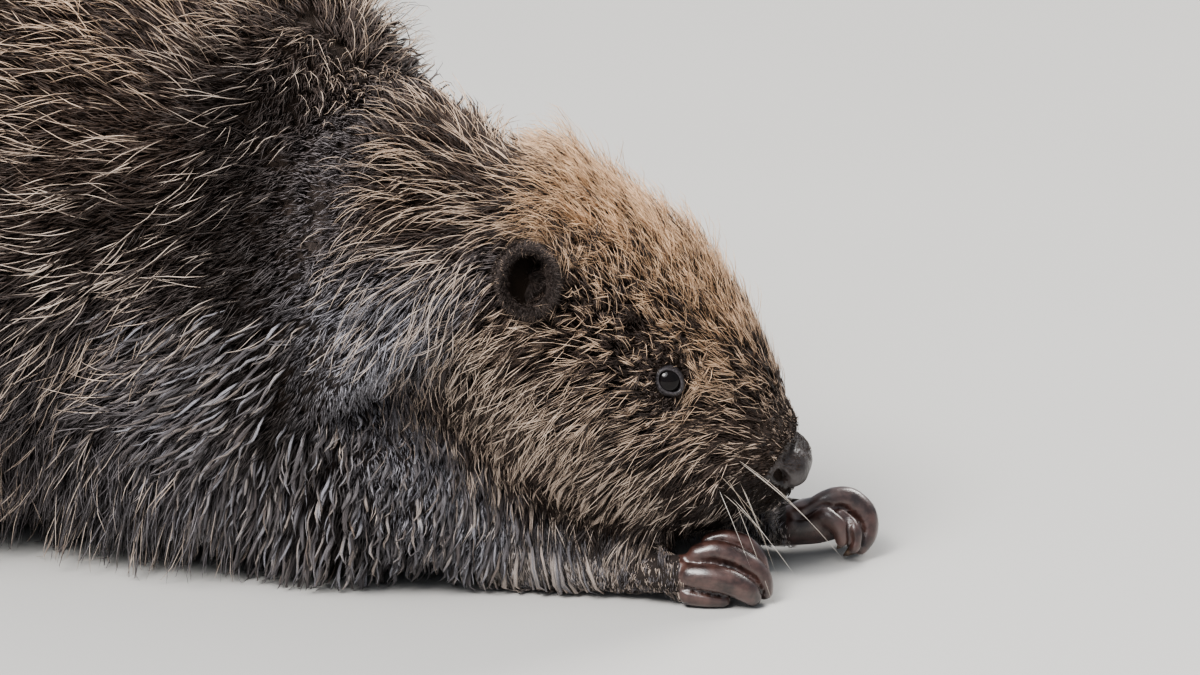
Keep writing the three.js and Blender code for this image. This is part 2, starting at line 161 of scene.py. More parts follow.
# %% Helpers for objects
def new_object(name, mesh, material):
    """An object at the origin, with its place in its mesh."""
    piece = bpy.data.objects.new(name, mesh)
    scene.collection.objects.link(piece)
    mesh.materials.append(material)
    return piece


def finished(piece, slot, *replaced):
    """Says which body a piece rides on and which nodes it replaces. Its slot, the finish, is not used."""
    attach(piece, "root")
    if replaced:
        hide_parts(*replaced)


def from_bmesh(name, bm, material):
    mesh = bpy.data.meshes.new(name)
    bm.to_mesh(mesh)
    bm.free()
    mesh.shade_smooth()
    return new_object(name, mesh, material)


def mesh_from(name, verts, faces, smooth=True):
    """A mesh from an array of points and a list of face arrays, each of which has its own corner count."""
    mesh = bpy.data.meshes.new(name)
    loops = np.concatenate([f.reshape(-1) for f in faces]).astype(np.int32)
    sizes = np.concatenate([np.full(len(f), f.shape[1]) for f in faces])
    mesh.vertices.add(len(verts))
    mesh.loops.add(len(loops))
    mesh.loops.foreach_set("vertex_index", loops)
    mesh.polygons.add(len(sizes))
    mesh.polygons.foreach_set("loop_start", np.concatenate([[0], np.cumsum(sizes)[:-1]]).astype(np.int32))
    mesh.polygons.foreach_set("use_smooth", np.full(len(sizes), smooth))
    move_points(mesh, verts)
    mesh.update(calc_edges=True)
    return mesh


def with_modifiers(piece):
    """Bakes a piece's modifiers into its mesh."""
    ready = piece.evaluated_get(bpy.context.evaluated_depsgraph_get())
    mesh = bpy.data.meshes.new_from_object(ready)
    piece.modifiers.clear()
    old, piece.data = piece.data, mesh
    bpy.data.meshes.remove(old)
    return piece


# %% Helpers for reading and moving points
def read(items, what, width=1, kind=np.float32):
    """One attribute of many points, edges, corners or faces, as an array of rows."""
    values = np.empty(len(items) * width, kind)
    items.foreach_get(what, values)
    return values.reshape(-1, width) if width > 1 else values


def points_of(mesh):
    return read(mesh.vertices, "co", 3).astype(float)


def normals_of(mesh):
    return read(mesh.vertex_normals, "vector", 3).astype(float)


def edges_of(mesh):
    return read(mesh.edges, "vertices", 2, np.int32)


def move_points(mesh, co):
    mesh.vertices.foreach_set("co", np.ascontiguousarray(co, np.float32).reshape(-1))
    mesh.update()


def press_in(mesh, depth):
    """Moves every point inwards by its own depth, in millimetres."""
    move_points(mesh, points_of(mesh) - normals_of(mesh) * depth[:, None] / 1000)


def above_floor(co, height):
    """The same points, with none of them lower than the height."""
    co[..., 2] = np.maximum(co[..., 2], height)
    return co


def blurred(field, edges, rounds):
    """A value at each point, averaged with its neighbours along the edges."""
    field = np.asarray(field, float)
    if field.ndim == 2:
        return np.stack([blurred(column, edges, rounds) for column in field.T], 1)
    degree = np.maximum(np.bincount(edges.reshape(-1), minlength=len(field)), 1)
    for _ in range(rounds):
        near = np.bincount(edges[:, 0], field[edges[:, 1]], len(field))
        near += np.bincount(edges[:, 1], field[edges[:, 0]], len(field))
        field = 0.4 * field + 0.6 * near / degree
    return field


# %% Helpers for soft formulas
def unit(v):
    return v / np.maximum(np.linalg.norm(v, axis=-1, keepdims=True), 1e-9)


def ramp(x, low, high):
    """0 below low, 1 above high, and a smooth rise between."""
    t = np.clip((x - low) / (high - low), 0, 1)
    return t * t * (3 - 2 * t)


def fall(x, low, high):
    return 1 - ramp(x, low, high)


def hill(x, middle, width):
    """1 at the middle, falling softly to both sides."""
    return np.exp(-(((x - middle) / width) ** 2))


def distance_to(places, spot):
    return np.linalg.norm(np.asarray(places) - np.array(spot), axis=1)


def nearest(places, spots):
    """How far each place is from the nearest of the spots."""
    return np.min([distance_to(places, spot) for spot in spots.values()], 0)


def waves(p, scale, shift):
    """Slow, soft noise from a few crossed waves, between -1 and 1."""
    q = np.asarray(p) * scale + shift
    a = np.sin(q[..., 0] * 1.7 + 1.3 * np.sin(q[..., 1] * 1.1 + q[..., 2]))
    b = np.sin(q[..., 1] * 2.3 + 1.7 * np.sin(q[..., 2] * 1.3 - q[..., 0] * 0.7))
    c = np.sin(q[..., 2] * 1.9 + 1.1 * np.sin(q[..., 0] * 1.6 + q[..., 1] * 0.9))
    return (a + b + c) / 3

# %% [markdown]
# ## Materials
# A beaver's hair is dark at the root and tan, golden or grey at the tip, and pale and dark hairs grow side
# by side. Pictures of fur could be laid on, but real strands want colours that run along each strand, so a
# shared node group mixes root and tip colours. The coat's markings come from three masks painted on the skin
# and handed on to every hair: how golden, how pale and how grey the coat is there. Where the hair is wet, the
# grey mask also brightens the tips to silver as painted sky sheen. In the fold behind the shoulder and below
# the nose, the masks are cut as painted shade.


# %% Short ways to add nodes
class Nodes:
    """Adds nodes to one tree. An input that is given another node's socket is linked to it. In the cells
    below, n is short for the nodes of the finish that is being made."""

    def __init__(self, tree):
        self.tree = tree

    def join(self, value, socket):
        if isinstance(value, bpy.types.NodeSocket):
            self.tree.links.new(value, socket)
        else:
            socket.default_value = (*value, 1) if isinstance(value, tuple) else value

    def add(self, kind, inputs, output=0, **settings):
        """A node with its settings and inputs. It gives back one output, or all of them for None."""
        node = self.tree.nodes.new("ShaderNode" + kind)
        for key, value in settings.items():
            setattr(node, key, value)
        for key, value in inputs.items():
            self.join(value, node.inputs[key])
        return node.outputs if output is None else node.outputs[output]

    def mix(self, factor, a, b, blend="MIX"):
        return self.add("Mix", {0: factor, 6: a, 7: b}, 2, data_type="RGBA", blend_type=blend)

    def maths(self, operation, a, b=0.0, clamp=False):
        return self.add("Math", {0: a, 1: b}, operation=operation, use_clamp=clamp)

    def times(self, a, b):
        return self.maths("MULTIPLY", a, b)

    def vectors(self, operation, a, b, output=0):
        return self.add("VectorMath", {0: a, 1: b}, output, operation=operation)

    def spread(self, value, low, high, to_low=0.0, to_high=1.0):
        """Stretches a value from one range to another, with soft ends."""
        return self.add("MapRange", {"Value": value, "From Min": low, "From Max": high, "To Min": to_low,
                                     "To Max": to_high}, interpolation_type="SMOOTHSTEP")

    def noise(self, where, scale, detail=4.0, roughness=0.6):
        inputs = {"Vector": where, "Scale": scale, "Detail": detail, "Roughness": roughness}
        return self.add("TexNoise", inputs)

    def place(self):
        return self.add("TexCoord", {}, "Object")

    def attribute(self, name, output="Vector"):
        return self.add("Attribute", {}, output, attribute_name=name)

    def strand(self):
        """How far along its hair a point is, how far to the side, and the hair's own random number."""
        return self.add("SeparateXYZ", {"Vector": self.attribute("strand")}, None)

    def marks(self):
        """How golden, how pale and how greyish the coat is; the greyish tips are partly painted sky sheen on
        wet hair.
        """
        return self.add("SeparateColor", {"Color": self.attribute("mark", "Color")}, None)


class Finish(Nodes):
    """A material of its own, whose shader's inputs take numbers or other nodes' sockets."""

    def __init__(self, name, roughness, specular):
        self.material = bpy.data.materials.new(name)
        self.material.use_nodes = True
        super().__init__(self.material.node_tree)
        self.shader = self.tree.nodes["Principled BSDF"].inputs
        self.put(Roughness=roughness, Specular_IOR_Level=specular)

    def put(self, **values):
        for key, value in values.items():
            self.join(value, self.shader[key.replace("_", " ")])

    def bump(self, height, strength, distance):
        self.put(Normal=self.add("Bump", {"Strength": strength, "Distance": distance, "Height": height}))


# %% Coat colour group
BRIGHT_FROM, BRIGHT_TO = 0.93, 1.07  # a hair is bright where its seed and the Pale mask together pass this
coat_colour = bpy.data.node_groups.new("coat colour", "ShaderNodeTree")
for key, value in (("Along", 0.0), ("Seed", 0.5), ("Golden", 0.5), ("Pale", 0.5), ("Grey and sheen", 0.0)):
    socket = coat_colour.interface.new_socket(name=key, in_out="INPUT", socket_type="NodeSocketFloat")
    socket.default_value = value
coat_colour.interface.new_socket(name="Colour", in_out="OUTPUT", socket_type="NodeSocketColor")
coat_colour.interface.new_socket(name="Roughness", in_out="OUTPUT", socket_type="NodeSocketFloat")
given = coat_colour.nodes.new("NodeGroupInput").outputs
result = coat_colour.nodes.new("NodeGroupOutput").inputs
n = Nodes(coat_colour)
# A share of the hairs, equal to Pale, is bright: those with the highest seeds.
bright = n.spread(n.maths("ADD", given["Seed"], given["Pale"]), BRIGHT_FROM, BRIGHT_TO)
tone = n.maths("FRACT", n.times(given["Seed"], 17.0))
tan = n.mix(tone, (0.28, 0.225, 0.190), (0.74, 0.635, 0.55))
gold = n.mix(tone, (0.36, 0.205, 0.110), (0.94, 0.64, 0.39))
# The dark hairs are darkest where nothing golden grows: round the mouth, and in the fold behind the shoulder,
# where the golden mask is cut as painted shade.
less_dark = n.times(tone, n.spread(given["Golden"], 0.0, 0.24, 0.12, 1.0))
dull = n.mix(less_dark, (0.016, 0.010, 0.008), (0.098, 0.064, 0.047))
tip = n.mix(bright, dull, n.mix(given["Golden"], tan, gold))
# Grey tips are the underfur's own grey, brightened and cooled to silver as painted sky sheen on the wet hair.
grey_tip_and_sheen = n.mix(tone, (0.038, 0.034, 0.036), (0.56, 0.55, 0.60))
tip = n.mix(n.times(given["Grey and sheen"], n.maths("SUBTRACT", 1.0, n.times(bright, 0.6))), tip, grey_tip_and_sheen)
root = n.mix(given["Grey and sheen"], (0.012, 0.008, 0.006), (0.050, 0.043, 0.042))
n.join(n.mix(n.spread(given["Along"], 0.0, 0.42), root, tip), result["Colour"])
n.join(n.spread(n.maths("SUBTRACT", tone, n.times(given["Grey and sheen"], 0.8)), -0.8, 1.0, 0.32, 0.60),
       result["Roughness"])
print("coat colour group:", len(coat_colour.nodes), "nodes")


# %% Coat materials
def coat_material(name, fine):
    """Fine is how many small hairs are drawn across one strand; a single hair needs almost none."""
    n = Finish(name, 0.5, 0.5)
    along, side, seed = n.strand()
    marks = n.marks()
    stretched = {"X": n.times(side, fine), "Y": n.times(along, 1.6), "Z": n.times(seed, 91.0)}
    fibres = n.noise(n.add("CombineXYZ", stretched), 1.0, 2.0)
    varied = n.maths("ADD", seed, n.spread(fibres, 0.3, 0.7, -0.06 * fine, 0.06 * fine), clamp=True)
    colour, roughness = n.add("Group", {}, None, node_tree=coat_colour)
    group = colour.node.inputs
    for key, value in zip(("Along", "Seed", "Golden", "Pale", "Grey and sheen"), (along, varied, *marks)):
        n.join(value, group[key])
    n.put(Base_Color=colour, Roughness=roughness)
    if fine > 1:
        n.bump(fibres, 0.8, 0.0005)
    return n.material


hair_material = coat_material("coat hairs", 0.6)
lock_material = coat_material("wet locks", 6.0)

# %% [markdown]
# ## Skin, horn and eyes
# Bare skin is brown and moist, with pores between small scales. The nose is grey and pebbled, and the tail is
# scaly. Each could be one flat colour, but a real surface is never even, so noise mixes two tones and also
# varies the gloss and the bump. The skin under the coat has streaks that follow the lie of the hair.

# %% Skin under the coat
n = Finish("skin under the coat", 0.7, 0.25)
fur_skin, lie, (golden, _, grey_and_sheen) = n.material, n.attribute("lie"), n.marks()
along = n.times(n.vectors("DOT_PRODUCT", n.place(), lie, "Value"), 0.94)
stretch = n.add("VectorMath", {0: lie, "Scale": along}, operation="SCALE")
fibre = n.noise(n.vectors("SUBTRACT", n.place(), stretch), 1400.0, 3.0, 0.7)
base = n.mix(grey_and_sheen, (0.026, 0.016, 0.011), (0.105, 0.092, 0.090))
base = n.mix(n.times(golden, 0.3), base, (0.085, 0.050, 0.026))
n.put(Base_Color=n.mix(1.0, base, n.spread(fibre, 0.3, 0.7, 0.35, 1.5), "MULTIPLY"))
n.bump(fibre, 0.9, 0.0007)

# %% Bare skin of hands and feet
n = Finish("bare brown skin", 0.42, 0.8)
bare_skin, blotch = n.material, n.noise(n.place(), 110.0, 5.0)
pores = n.add("TexVoronoi", {"Vector": n.place(), "Scale": 900.0}, feature="DISTANCE_TO_EDGE")
n.put(Base_Color=n.mix(n.spread(blotch, 0.32, 0.70), (0.015, 0.006, 0.005), (0.084, 0.036, 0.027)),
      Roughness=n.spread(blotch, 0.3, 0.7, 0.30, 0.48),
      Coat_Weight=n.spread(blotch, 0.35, 0.65, 0.4, 0.9), Coat_Roughness=0.30)
n.bump(n.maths("ADD", pores, n.times(blotch, 0.5)), 0.3, 0.0004)

# %% Nose skin and tail scales
n = Finish("nose skin", 0.34, 0.7)
nose_skin, cloud = n.material, n.noise(n.place(), 90.0)
pebble = n.add("TexVoronoi", {"Vector": n.place(), "Scale": 900.0}, "Distance", feature="SMOOTH_F1")
tone = n.mix(n.spread(cloud, 0.3, 0.7), (0.026, 0.020, 0.019), (0.105, 0.090, 0.088))
# Where the golden mask is low, at the bottom of the pad below the nostrils, the pad is darkened as painted
# shade.
n.put(Base_Color=n.mix(n.spread(n.marks()[0], 0.06, 0.26), (0.014, 0.010, 0.009), tone),
      Roughness=n.spread(cloud, 0.3, 0.7, 0.34, 0.52))
n.bump(n.maths("SUBTRACT", 1.0, pebble), 0.5, 0.0004)

n = Finish("tail scales", 0.45, 0.5)
scale_skin, grain, (along, _, seed) = n.material, n.noise(n.place(), 70.0, 6.0), n.strand()
tone = n.mix(seed, (0.030, 0.026, 0.024), (0.105, 0.092, 0.082))
tone = n.mix(n.spread(along, 0.2, 1.0, 0.0, 0.5), (0.016, 0.013, 0.012), tone)
n.put(Base_Color=n.mix(n.spread(grain, 0.45, 0.75), tone, (0.14, 0.12, 0.105)),
      Roughness=n.spread(grain, 0.3, 0.7, 0.34, 0.6))
n.bump(n.noise(n.place(), 1100.0), 0.4, 0.0003)


# %% Ear and tail skin, lids, eyes, claws and floor: two colours mixed by one noise
def mottled(name, roughness, specular, scale, dark, light, detail=4.0, soft=True, rough=None, bump=None):
    """Soft spreads the noise, rough is a range of roughness, and bump has a scale, a strength and a depth."""
    n = Finish(name, roughness, specular)
    grain = n.noise(n.place(), scale, detail)
    n.put(Base_Color=n.mix(n.spread(grain, 0.3, 0.7) if soft else grain, dark, light))
    if rough:
        n.put(Roughness=n.spread(grain, 0.3, 0.7, *rough))
    if bump:
        n.bump(n.noise(n.place(), bump[0]), *bump[1:])
    return n.material


ear_skin = mottled("ear skin", 0.7, 0.25, 700.0, (0.012, 0.008, 0.007), (0.058, 0.042, 0.036), soft=False,
                   bump=(700.0, 0.7, 0.0004))
tail_skin = mottled("tail skin", 0.5, 0.45, 160.0, (0.020, 0.017, 0.015), (0.085, 0.074, 0.066), 6.0,
                    rough=(0.38, 0.6), bump=(900.0, 0.5, 0.0004))
lid_skin = mottled("lids", 0.4, 0.45, 1100.0, (0.022, 0.019, 0.020), (0.074, 0.066, 0.070),
                   bump=(1100.0, 0.5, 0.0003))
eye_shine = mottled("eye", 0.03, 0.3, 300.0, (0.002, 0.002, 0.003), (0.012, 0.008, 0.007), 3.0, soft=False)
claw_horn = mottled("claw horn", 0.3, 0.5, 260.0, (0.014, 0.009, 0.007), (0.12, 0.08, 0.055), 3.0,
                    rough=(0.22, 0.42))
pale_floor = mottled("pale floor", 0.8, 0.2, 2.0, (0.50, 0.49, 0.47), (0.56, 0.55, 0.53), 2.0, soft=False)

n = Finish("whiskers", 0.35, 0.5)
whisker_horn = n.material
n.put(Base_Color=n.mix(n.strand()[2], (0.30, 0.25, 0.20), (0.72, 0.68, 0.62)))
print("materials:", [m.name for m in bpy.data.materials])

# %% [markdown]
# ## One skin inside the solids
# A live animal has one skin, without seams. Copies of the flesh solids are swollen a little so that their
# thin gaps close, joined, and remeshed into one surface. Under the coat that surface sinks by the coat's
# depth. Hands, feet, ears, nose and tail need a finer mesh, so each is made by itself and then joined on
# with a boolean union, which leaves one closed skin.

# %% The coated body
FURRED = ["head", "neck", "trunk", "tail_root"] + [
    f"{side}_{part}" for side in SIDES for part in ("upper_arm", "forearm", "thigh")
]


def solids_of(nodes, swell=0.0004):
    """The named solids in one bmesh, welded, and swollen a little."""
    bm = bmesh.new()
    for node in nodes:
        bm.from_mesh(frame["nodes"][node].data)
    bmesh.ops.remove_doubles(bm, verts=bm.verts, dist=1e-6)
    bm.normal_update()
    for v in bm.verts:
        v.co += v.normal * swell
    return bm


def remeshed(name, bm, voxel, smoothing, material):
    """One even surface round everything in the bmesh, smoothed."""
    piece = from_bmesh(name, bm, material)
    remesh = piece.modifiers.new("remesh", "REMESH")
    remesh.mode, remesh.voxel_size, remesh.use_smooth_shade = "VOXEL", voxel, True
    smooth = piece.modifiers.new("smooth", "SMOOTH")
    smooth.factor, smooth.iterations = 0.5, smoothing
    return with_modifiers(piece)


# The coat's outer face is remeshed too, with little smoothing: hair tips are later grown out to it.
BODY_VOXEL = 0.004
outline = remeshed("outline", solids_of(FURRED), BODY_VOXEL, 2, fur_skin)
outline_tree = BVHTree.FromPolygons([v.co for v in outline.data.vertices],
                                    [p.vertices for p in outline.data.polygons])
bpy.data.objects.remove(outline)

skin = remeshed("skin", solids_of(FURRED), BODY_VOXEL, 7, fur_skin)
points, edges = points_of(skin.data), edges_of(skin.data)
print("coated body:", len(points), "points", clock())

# %% Naming each point after the nearest solid
owners, corners, faces = [], [], []
for number, node in enumerate(FURRED):
    data = frame["nodes"][node].data
    faces += [[len(corners) + i for i in p.vertices] for p in data.polygons]
    corners += [v.co.copy() for v in data.vertices]
    owners += [number] * len(data.polygons)
solids_tree = BVHTree.FromPolygons(corners, faces)


def name_points(places):
    """The number, in the list of furred nodes, of the solid that is nearest to each place."""
    return np.array([owners[solids_tree.find_nearest(Vector(p))[2]] for p in places])


def by_region(region, default, **values):
    """One value per point, looked up by the end of the region's name."""
    table = [next((v for k, v in values.items() if n.endswith(k)), default) for n in FURRED]
    return np.array(table, float)[region]


# %% The coat's depth, and the skin sunk by it
region = name_points(points)
on_the_head = region == FURRED.index("head")
depth = by_region(region, 6, neck=9, trunk=12, upper_arm=7, forearm=2.2, thigh=11)
depth = np.where(on_the_head, 0.5 + 6.0 * ramp(in_head(points)[:, 0], 12, 110), depth)
depth = np.where(region == FURRED.index("tail_root"), 1.0 + 8 * ramp(points[:, 0], -0.20, -0.12), depth)
for hand_end in ((0.404, -0.009, 0.015), (0.430, 0.063, 0.016)):
    depth = np.minimum(depth, 0.4 + 12 * ramp(distance_to(points, hand_end), 0.010, 0.060))
depth = blurred(depth, edges, 22)
depth = np.minimum(depth, 0.3 + 8 * ramp(nearest(points, EYES), 0.008, 0.034)) / 1000
SINK_STEPS = 6
for _ in range(SINK_STEPS):
    inward = -blurred(normals_of(skin.data), edges, 4)
    move_points(skin.data, points_of(skin.data) + inward * depth[:, None] / SINK_STEPS)
move_points(skin.data, above_floor(blurred(points_of(skin.data), edges, 2), 0.0006))
print("skin sunk by", in_mm(depth))

# %% [markdown]
# ## Hands
# Beaver hands are closed fists when they hold food: fat rounded fingers side by side, with deep grooves
# between. Each finger is a row of balls along a bent line. One fine remesh melts them into a hand.

# %% The rows of balls in each hand
# They are laid out side-on: along the view (to the right), away, and up, with a radius, in millimetres.
PALM_AND_FINGERS = {
    "right": [
        [[350, -180, 13, 7.0], [359, -181, 12.5, 7.8], [367, -181, 12.5, 8.6], [374, -181, 13.5, 8.4],
         [381, -180, 12, 7.6], [387, -179, 9.5, 6.0]],
        [[368, -187, 14, 5.4], [375, -188, 13.4, 6.1], [383, -188, 11.6, 6.0], [390, -188, 8.2, 5.3],
         [393, -187, 4.8, 4.2]],
        [[371, -181, 20.8, 4.7], [378, -181, 22, 5.2], [386, -181, 19.4, 5.3], [393, -182, 15.3, 5.0],
         [397, -182, 10.2, 4.5], [398, -182, 5.4, 3.9]],
        [[376, -173, 23, 4.2], [383, -173, 24.4, 4.5], [390, -173, 22, 4.4], [395, -174, 17.2, 4.0],
         [397, -175, 11.4, 3.6]],
        [[376, -166, 20, 4.0], [384, -165, 21, 4.3], [391, -165, 18.5, 4.3], [395, -166, 13, 3.9],
         [395, -168, 8, 3.4]],
        [[367, -186, 5, 4.4], [374, -187, 4.2, 4.2], [381, -187, 3.6, 3.6]],
    ],
    "left": [
        [[411, -125, 14, 9.0], [419, -124, 15.5, 10.2], [427, -121, 15.5, 9.4], [433, -119, 13.5, 7.4]],
        [[417, -127, 20, 4.4], [425, -124, 24, 5.0], [434, -122, 24.2, 5.3], [441, -124, 18.6, 5.1],
         [442, -127, 11, 4.4], [439, -130, 6, 3.6]],
        [[417, -129, 17, 4.2], [424, -131, 19.8, 4.6], [430, -133, 16.6, 4.5], [432, -134, 10.6, 3.9]],
        [[430, -129, 19, 4.0], [435.5, -132, 14, 4.2], [436, -134, 8, 3.6]],
        [[420, -117, 19, 4.2], [429, -114, 22, 4.8], [438, -114, 19, 4.8], [442, -116, 12, 4.2],
         [440, -119, 6.5, 3.5]],
        [[419, -110, 16, 4.0], [428, -107, 18, 4.5], [436, -107, 15, 4.4], [439, -109, 8.5, 3.8]],
    ],
}


def side_on(right, far, up):
    """A place given along the view, away from it, and up, in millimetres."""
    return (ACROSS * right + AWAY * far + Vector((0, 0, up))) / 1000


def turned_row(row):
    """A row of side-on places with radii, turned to the scene's own axes."""
    return np.array([[*(side_on(*spot) * 1000), r] for *spot, r in row])


HANDS = {side: [turned_row(row) for row in rows] for side, rows in PALM_AND_FINGERS.items()}
print("rows of balls, the palm first:", {side: len(rows) for side, rows in HANDS.items()})


# %% A hand from rows of balls
def row_of_balls(bm, line, count, start=Vector()):
    """Balls along a smooth line through (x, y, z, radius), given in millimetres from a starting place."""
    line = np.array(line, float)
    ends = np.vstack([2 * line[0] - line[1], line, 2 * line[-1] - line[-2]])
    for t in np.linspace(0, len(line) - 1, count):
        i = min(int(t), len(line) - 2)
        f = t - i
        a, b, c, d = ends[i:i + 4]
        x, y, z, r = 0.5 * (2 * b + (c - a) * f + (2 * a - 5 * b + 4 * c - d) * f**2
                            + (3 * b - a - 3 * c + d) * f**3) / 1000
        place = Matrix.Translation(start) @ Matrix.Translation((x, y, z))
        bmesh.ops.create_icosphere(bm, subdivisions=2, radius=r, matrix=place)


def hand_bmesh(side):
    bm = bmesh.new()
    for row in HANDS[side]:
        row_of_balls(bm, row, 6 * len(row))
    return bm


def beyond_line(places, p, q):
    """How far along a line from p to q each place is, between 0 and 1, and how far away from it."""
    way = q - p
    t = np.clip(((places - p) @ way) / (way @ way), 0, 1)
    return t, np.linalg.norm(places - p - t[:, None] * way, axis=1)


def gaps_between_fingers(piece, side):
    """Presses a groove wherever two fingers are equally near."""
    co = points_of(piece.data) * 1000
    near = []
    for row in HANDS[side][1:]:
        best = np.full(len(co), 1e9)
        for p, q in zip(row, row[1:]):
            t, far = beyond_line(co, p[:3], q[:3])
            best = np.minimum(best, far - p[3] - (q[3] - p[3]) * t)
        near.append(best)
    near = np.sort(near, axis=0)
    press_in(piece.data, 2.2 * hill(near[1] - near[0], 0, 1.2) * fall(near[0], 1.0, 3.5))
    return piece


# %% [markdown]
# ## Ears, lids and nose
# An ear is a shallow round cup, thin at the rim. The lids are a soft almond ring round the eye. The nose is
# a swollen bare pad with a comma-shaped nostril on each side. All three are too fine for the solids, so each
# is shaped from simple operators and pressed with soft formulas before it joins the skin.


# %% Ears
def ear_axes(side):
    """Where an ear's cup opens to, and two directions across its mouth: towards the nose, and up."""
    turn = Euler((0, math.radians(12), math.radians(25 + SIDES[side] * 72)), "XYZ").to_matrix()
    opening = np.array(turn.col[0])
    front = unit(FORWARD - opening * (FORWARD @ opening))
    return opening, front, np.cross(opening, front) * -SIDES[side]


def ear_bmesh(side):
    bm = solids_of([f"{side}_ear"], 0.0001)
    opening, front, rise = ear_axes(side)
    fold = [[5.5, 8.5, 2.4], [7.4, 3.5, 2.9], [7.2, -2.5, 3.1], [4.8, -8.0, 2.6]]
    row_of_balls(bm, [[*(front * f + rise * u + opening * -1.5), r] for f, u, r in fold], 12, EARS[side])
    knob = EARS[side] + Vector((front * 4.0 + rise * 2.4 - opening * 2.0) / 1000)
    bmesh.ops.create_icosphere(bm, subdivisions=2, radius=0.0024, matrix=Matrix.Translation(knob))
    return bm


def wider_cup(ear, side):
    """Thins the ear's rim from the inside, so that the flap is a shallow dish with a deep middle."""
    opening, front, _ = ear_axes(side)
    co, out = points_of(ear.data), normals_of(ear.data)
    from_middle = (co - np.array(EARS[side])) * 1000
    across_mouth = from_middle - np.outer(from_middle @ opening, opening)
    press = 4.2 * hill(np.linalg.norm(across_mouth, axis=1), 7.4, 3.6) * ramp(out @ opening, -0.1, 0.4)
    press *= 1 - 0.75 * ramp(across_mouth @ front, 1.0, 6.0)
    move_points(ear.data, co - opening * press[:, None] / 1000)
    return ear


# %% Lids
# Each row of the ring has a width beyond the eye's opening and a height above the eye's middle, in mm.
LID_ROWS = [(-0.15, 3.4), (0.0, 4.5), (0.25, 4.95), (0.65, 5.05), (1.1, 4.7), (1.6, 3.9), (2.3, 2.4),
            (2.1, 0.6), (0.6, 1.5)]
EYE_HALF_LONG, EYE_HALF_HIGH = 4.6, 3.85


def lid_bmesh(side):
    """A circle, drawn out row by row into an almond ring, with its last row closed on its first."""
    outward = Vector(LEFT * SIDES[side] * 0.95 + FORWARD * 0.05 + UP * 0.24).normalized()
    level = Vector(FORWARD - UP * 0.12)
    level = (level - outward * level.dot(outward)).normalized()
    rise = outward.cross(level)
    bm = bmesh.new()
    ring = bmesh.ops.create_circle(bm, segments=48, radius=1)["verts"]
    angles = [math.atan2(v.co.y, v.co.x) for v in ring]
    first = rim = list(bm.edges)
    for number, (wider, height) in enumerate(LID_ROWS):
        if number:
            drawn = bmesh.ops.extrude_edge_only(bm, edges=rim)["geom"]
            ring = [g for g in drawn if isinstance(g, bmesh.types.BMVert)]
            rim = [g for g in drawn if isinstance(g, bmesh.types.BMEdge) and all(v in ring for v in g.verts)]
        for v, a in zip(ring, angles):
            c, d = math.cos(a), math.sin(a)
            half = 1 / math.sqrt((c / EYE_HALF_LONG) ** 2 + (d / EYE_HALF_HIGH) ** 2)
            half *= 1 + 0.17 * max(c, 0) ** 6 + 0.05 * max(-c, 0) ** 8
            r = half + wider
            v.co = EYES[side] + (level * (r * c) + rise * (r * d) + outward * height) / 1000
    bmesh.ops.bridge_loops(bm, edges=first + rim)
    bmesh.ops.recalc_face_normals(bm, faces=bm.faces)
    return bm


# %% Nose
NOSTRIL = (9.8, 19.8, -10.0), (0.6, 11.5, -13.0)  # a short line on the head, mirrored for the other side
NOSTRIL_RIM = (10.5, 20.5, -6.4), (2.5, 14.0, -8.8)


def beside(places, line, s):
    """How far places are from a short line on one side of the head, in millimetres."""
    return beyond_line(places, *[np.array(end) * [1, s, 1] for end in line])[1]


def from_nostrils(places):
    return np.minimum(*[beside(places, NOSTRIL, s) for s in SIDES.values()])


def nose_piece():
    """The front of the muzzle: the swollen pad, a nostril on each side, and a cleft down to the lip."""
    bm = solids_of(["head"], 0.0003)
    bulb = ((6.2, -9.0, -8.2, 9.8), (5.6, 0, -7.4, 10.0), (6.2, 9.0, -8.2, 9.8))
    row_of_balls(bm, [[*(on_head(*spot) * 1000), r] for *spot, r in bulb], 9)
    nose = remeshed("nose", bm, 0.0010, 5, nose_skin)
    bm = bmesh.new()
    bm.from_mesh(nose.data)
    cut = bmesh.ops.bisect_plane(bm, geom=bm.verts[:] + bm.edges[:] + bm.faces[:], plane_co=on_head(30, 0, 0),
                                 plane_no=Vector(FORWARD), clear_inner=True)["geom_cut"]
    bmesh.ops.edgenet_fill(bm, edges=[g for g in cut if isinstance(g, bmesh.types.BMEdge)])
    bmesh.ops.recalc_face_normals(bm, faces=bm.faces)
    bm.to_mesh(nose.data)
    bm.free()
    place = in_head(points_of(nose.data))
    press = np.zeros(len(place))
    for s in SIDES.values():
        press += 4.8 * hill(beside(place, NOSTRIL, s), 0, 1.75)
        press -= 1.7 * hill(beside(place, NOSTRIL_RIM, s), 0, 2.0)
    press += 1.3 * hill(place[:, 1], 0, 1.1) * ramp(-place[:, 2], 6, 16) * fall(place[:, 0], 10, 20)
    press_in(nose.data, press)
    # Behind the pad and below the nostrils the muzzle is furred again. Inside the nostrils the dark ear skin is
    # laid on as painted shade in their hollows.
    nose.data.materials.append(fur_skin)
    nose.data.materials.append(ear_skin)
    middle = in_head([p.center for p in nose.data.polygons])
    back, side, up = middle.T
    kind = ((back > 14.5) | (up > 4.0 - 0.1 * abs(side)) | (up < -15 + 0.1 * (10 - back))).astype(np.int32)
    kind[from_nostrils(middle) < 1.3] = 2
    nose.data.polygons.foreach_set("material_index", kind)
    return nose


# %% [markdown]
# ## Joined into one skin
# The hands, feet, ears, lids, nose and tail run on from the body without a seam. Left as separate shells they
# would show an edge at each wrist and ear, so a boolean union merges them and keeps each one's own material.


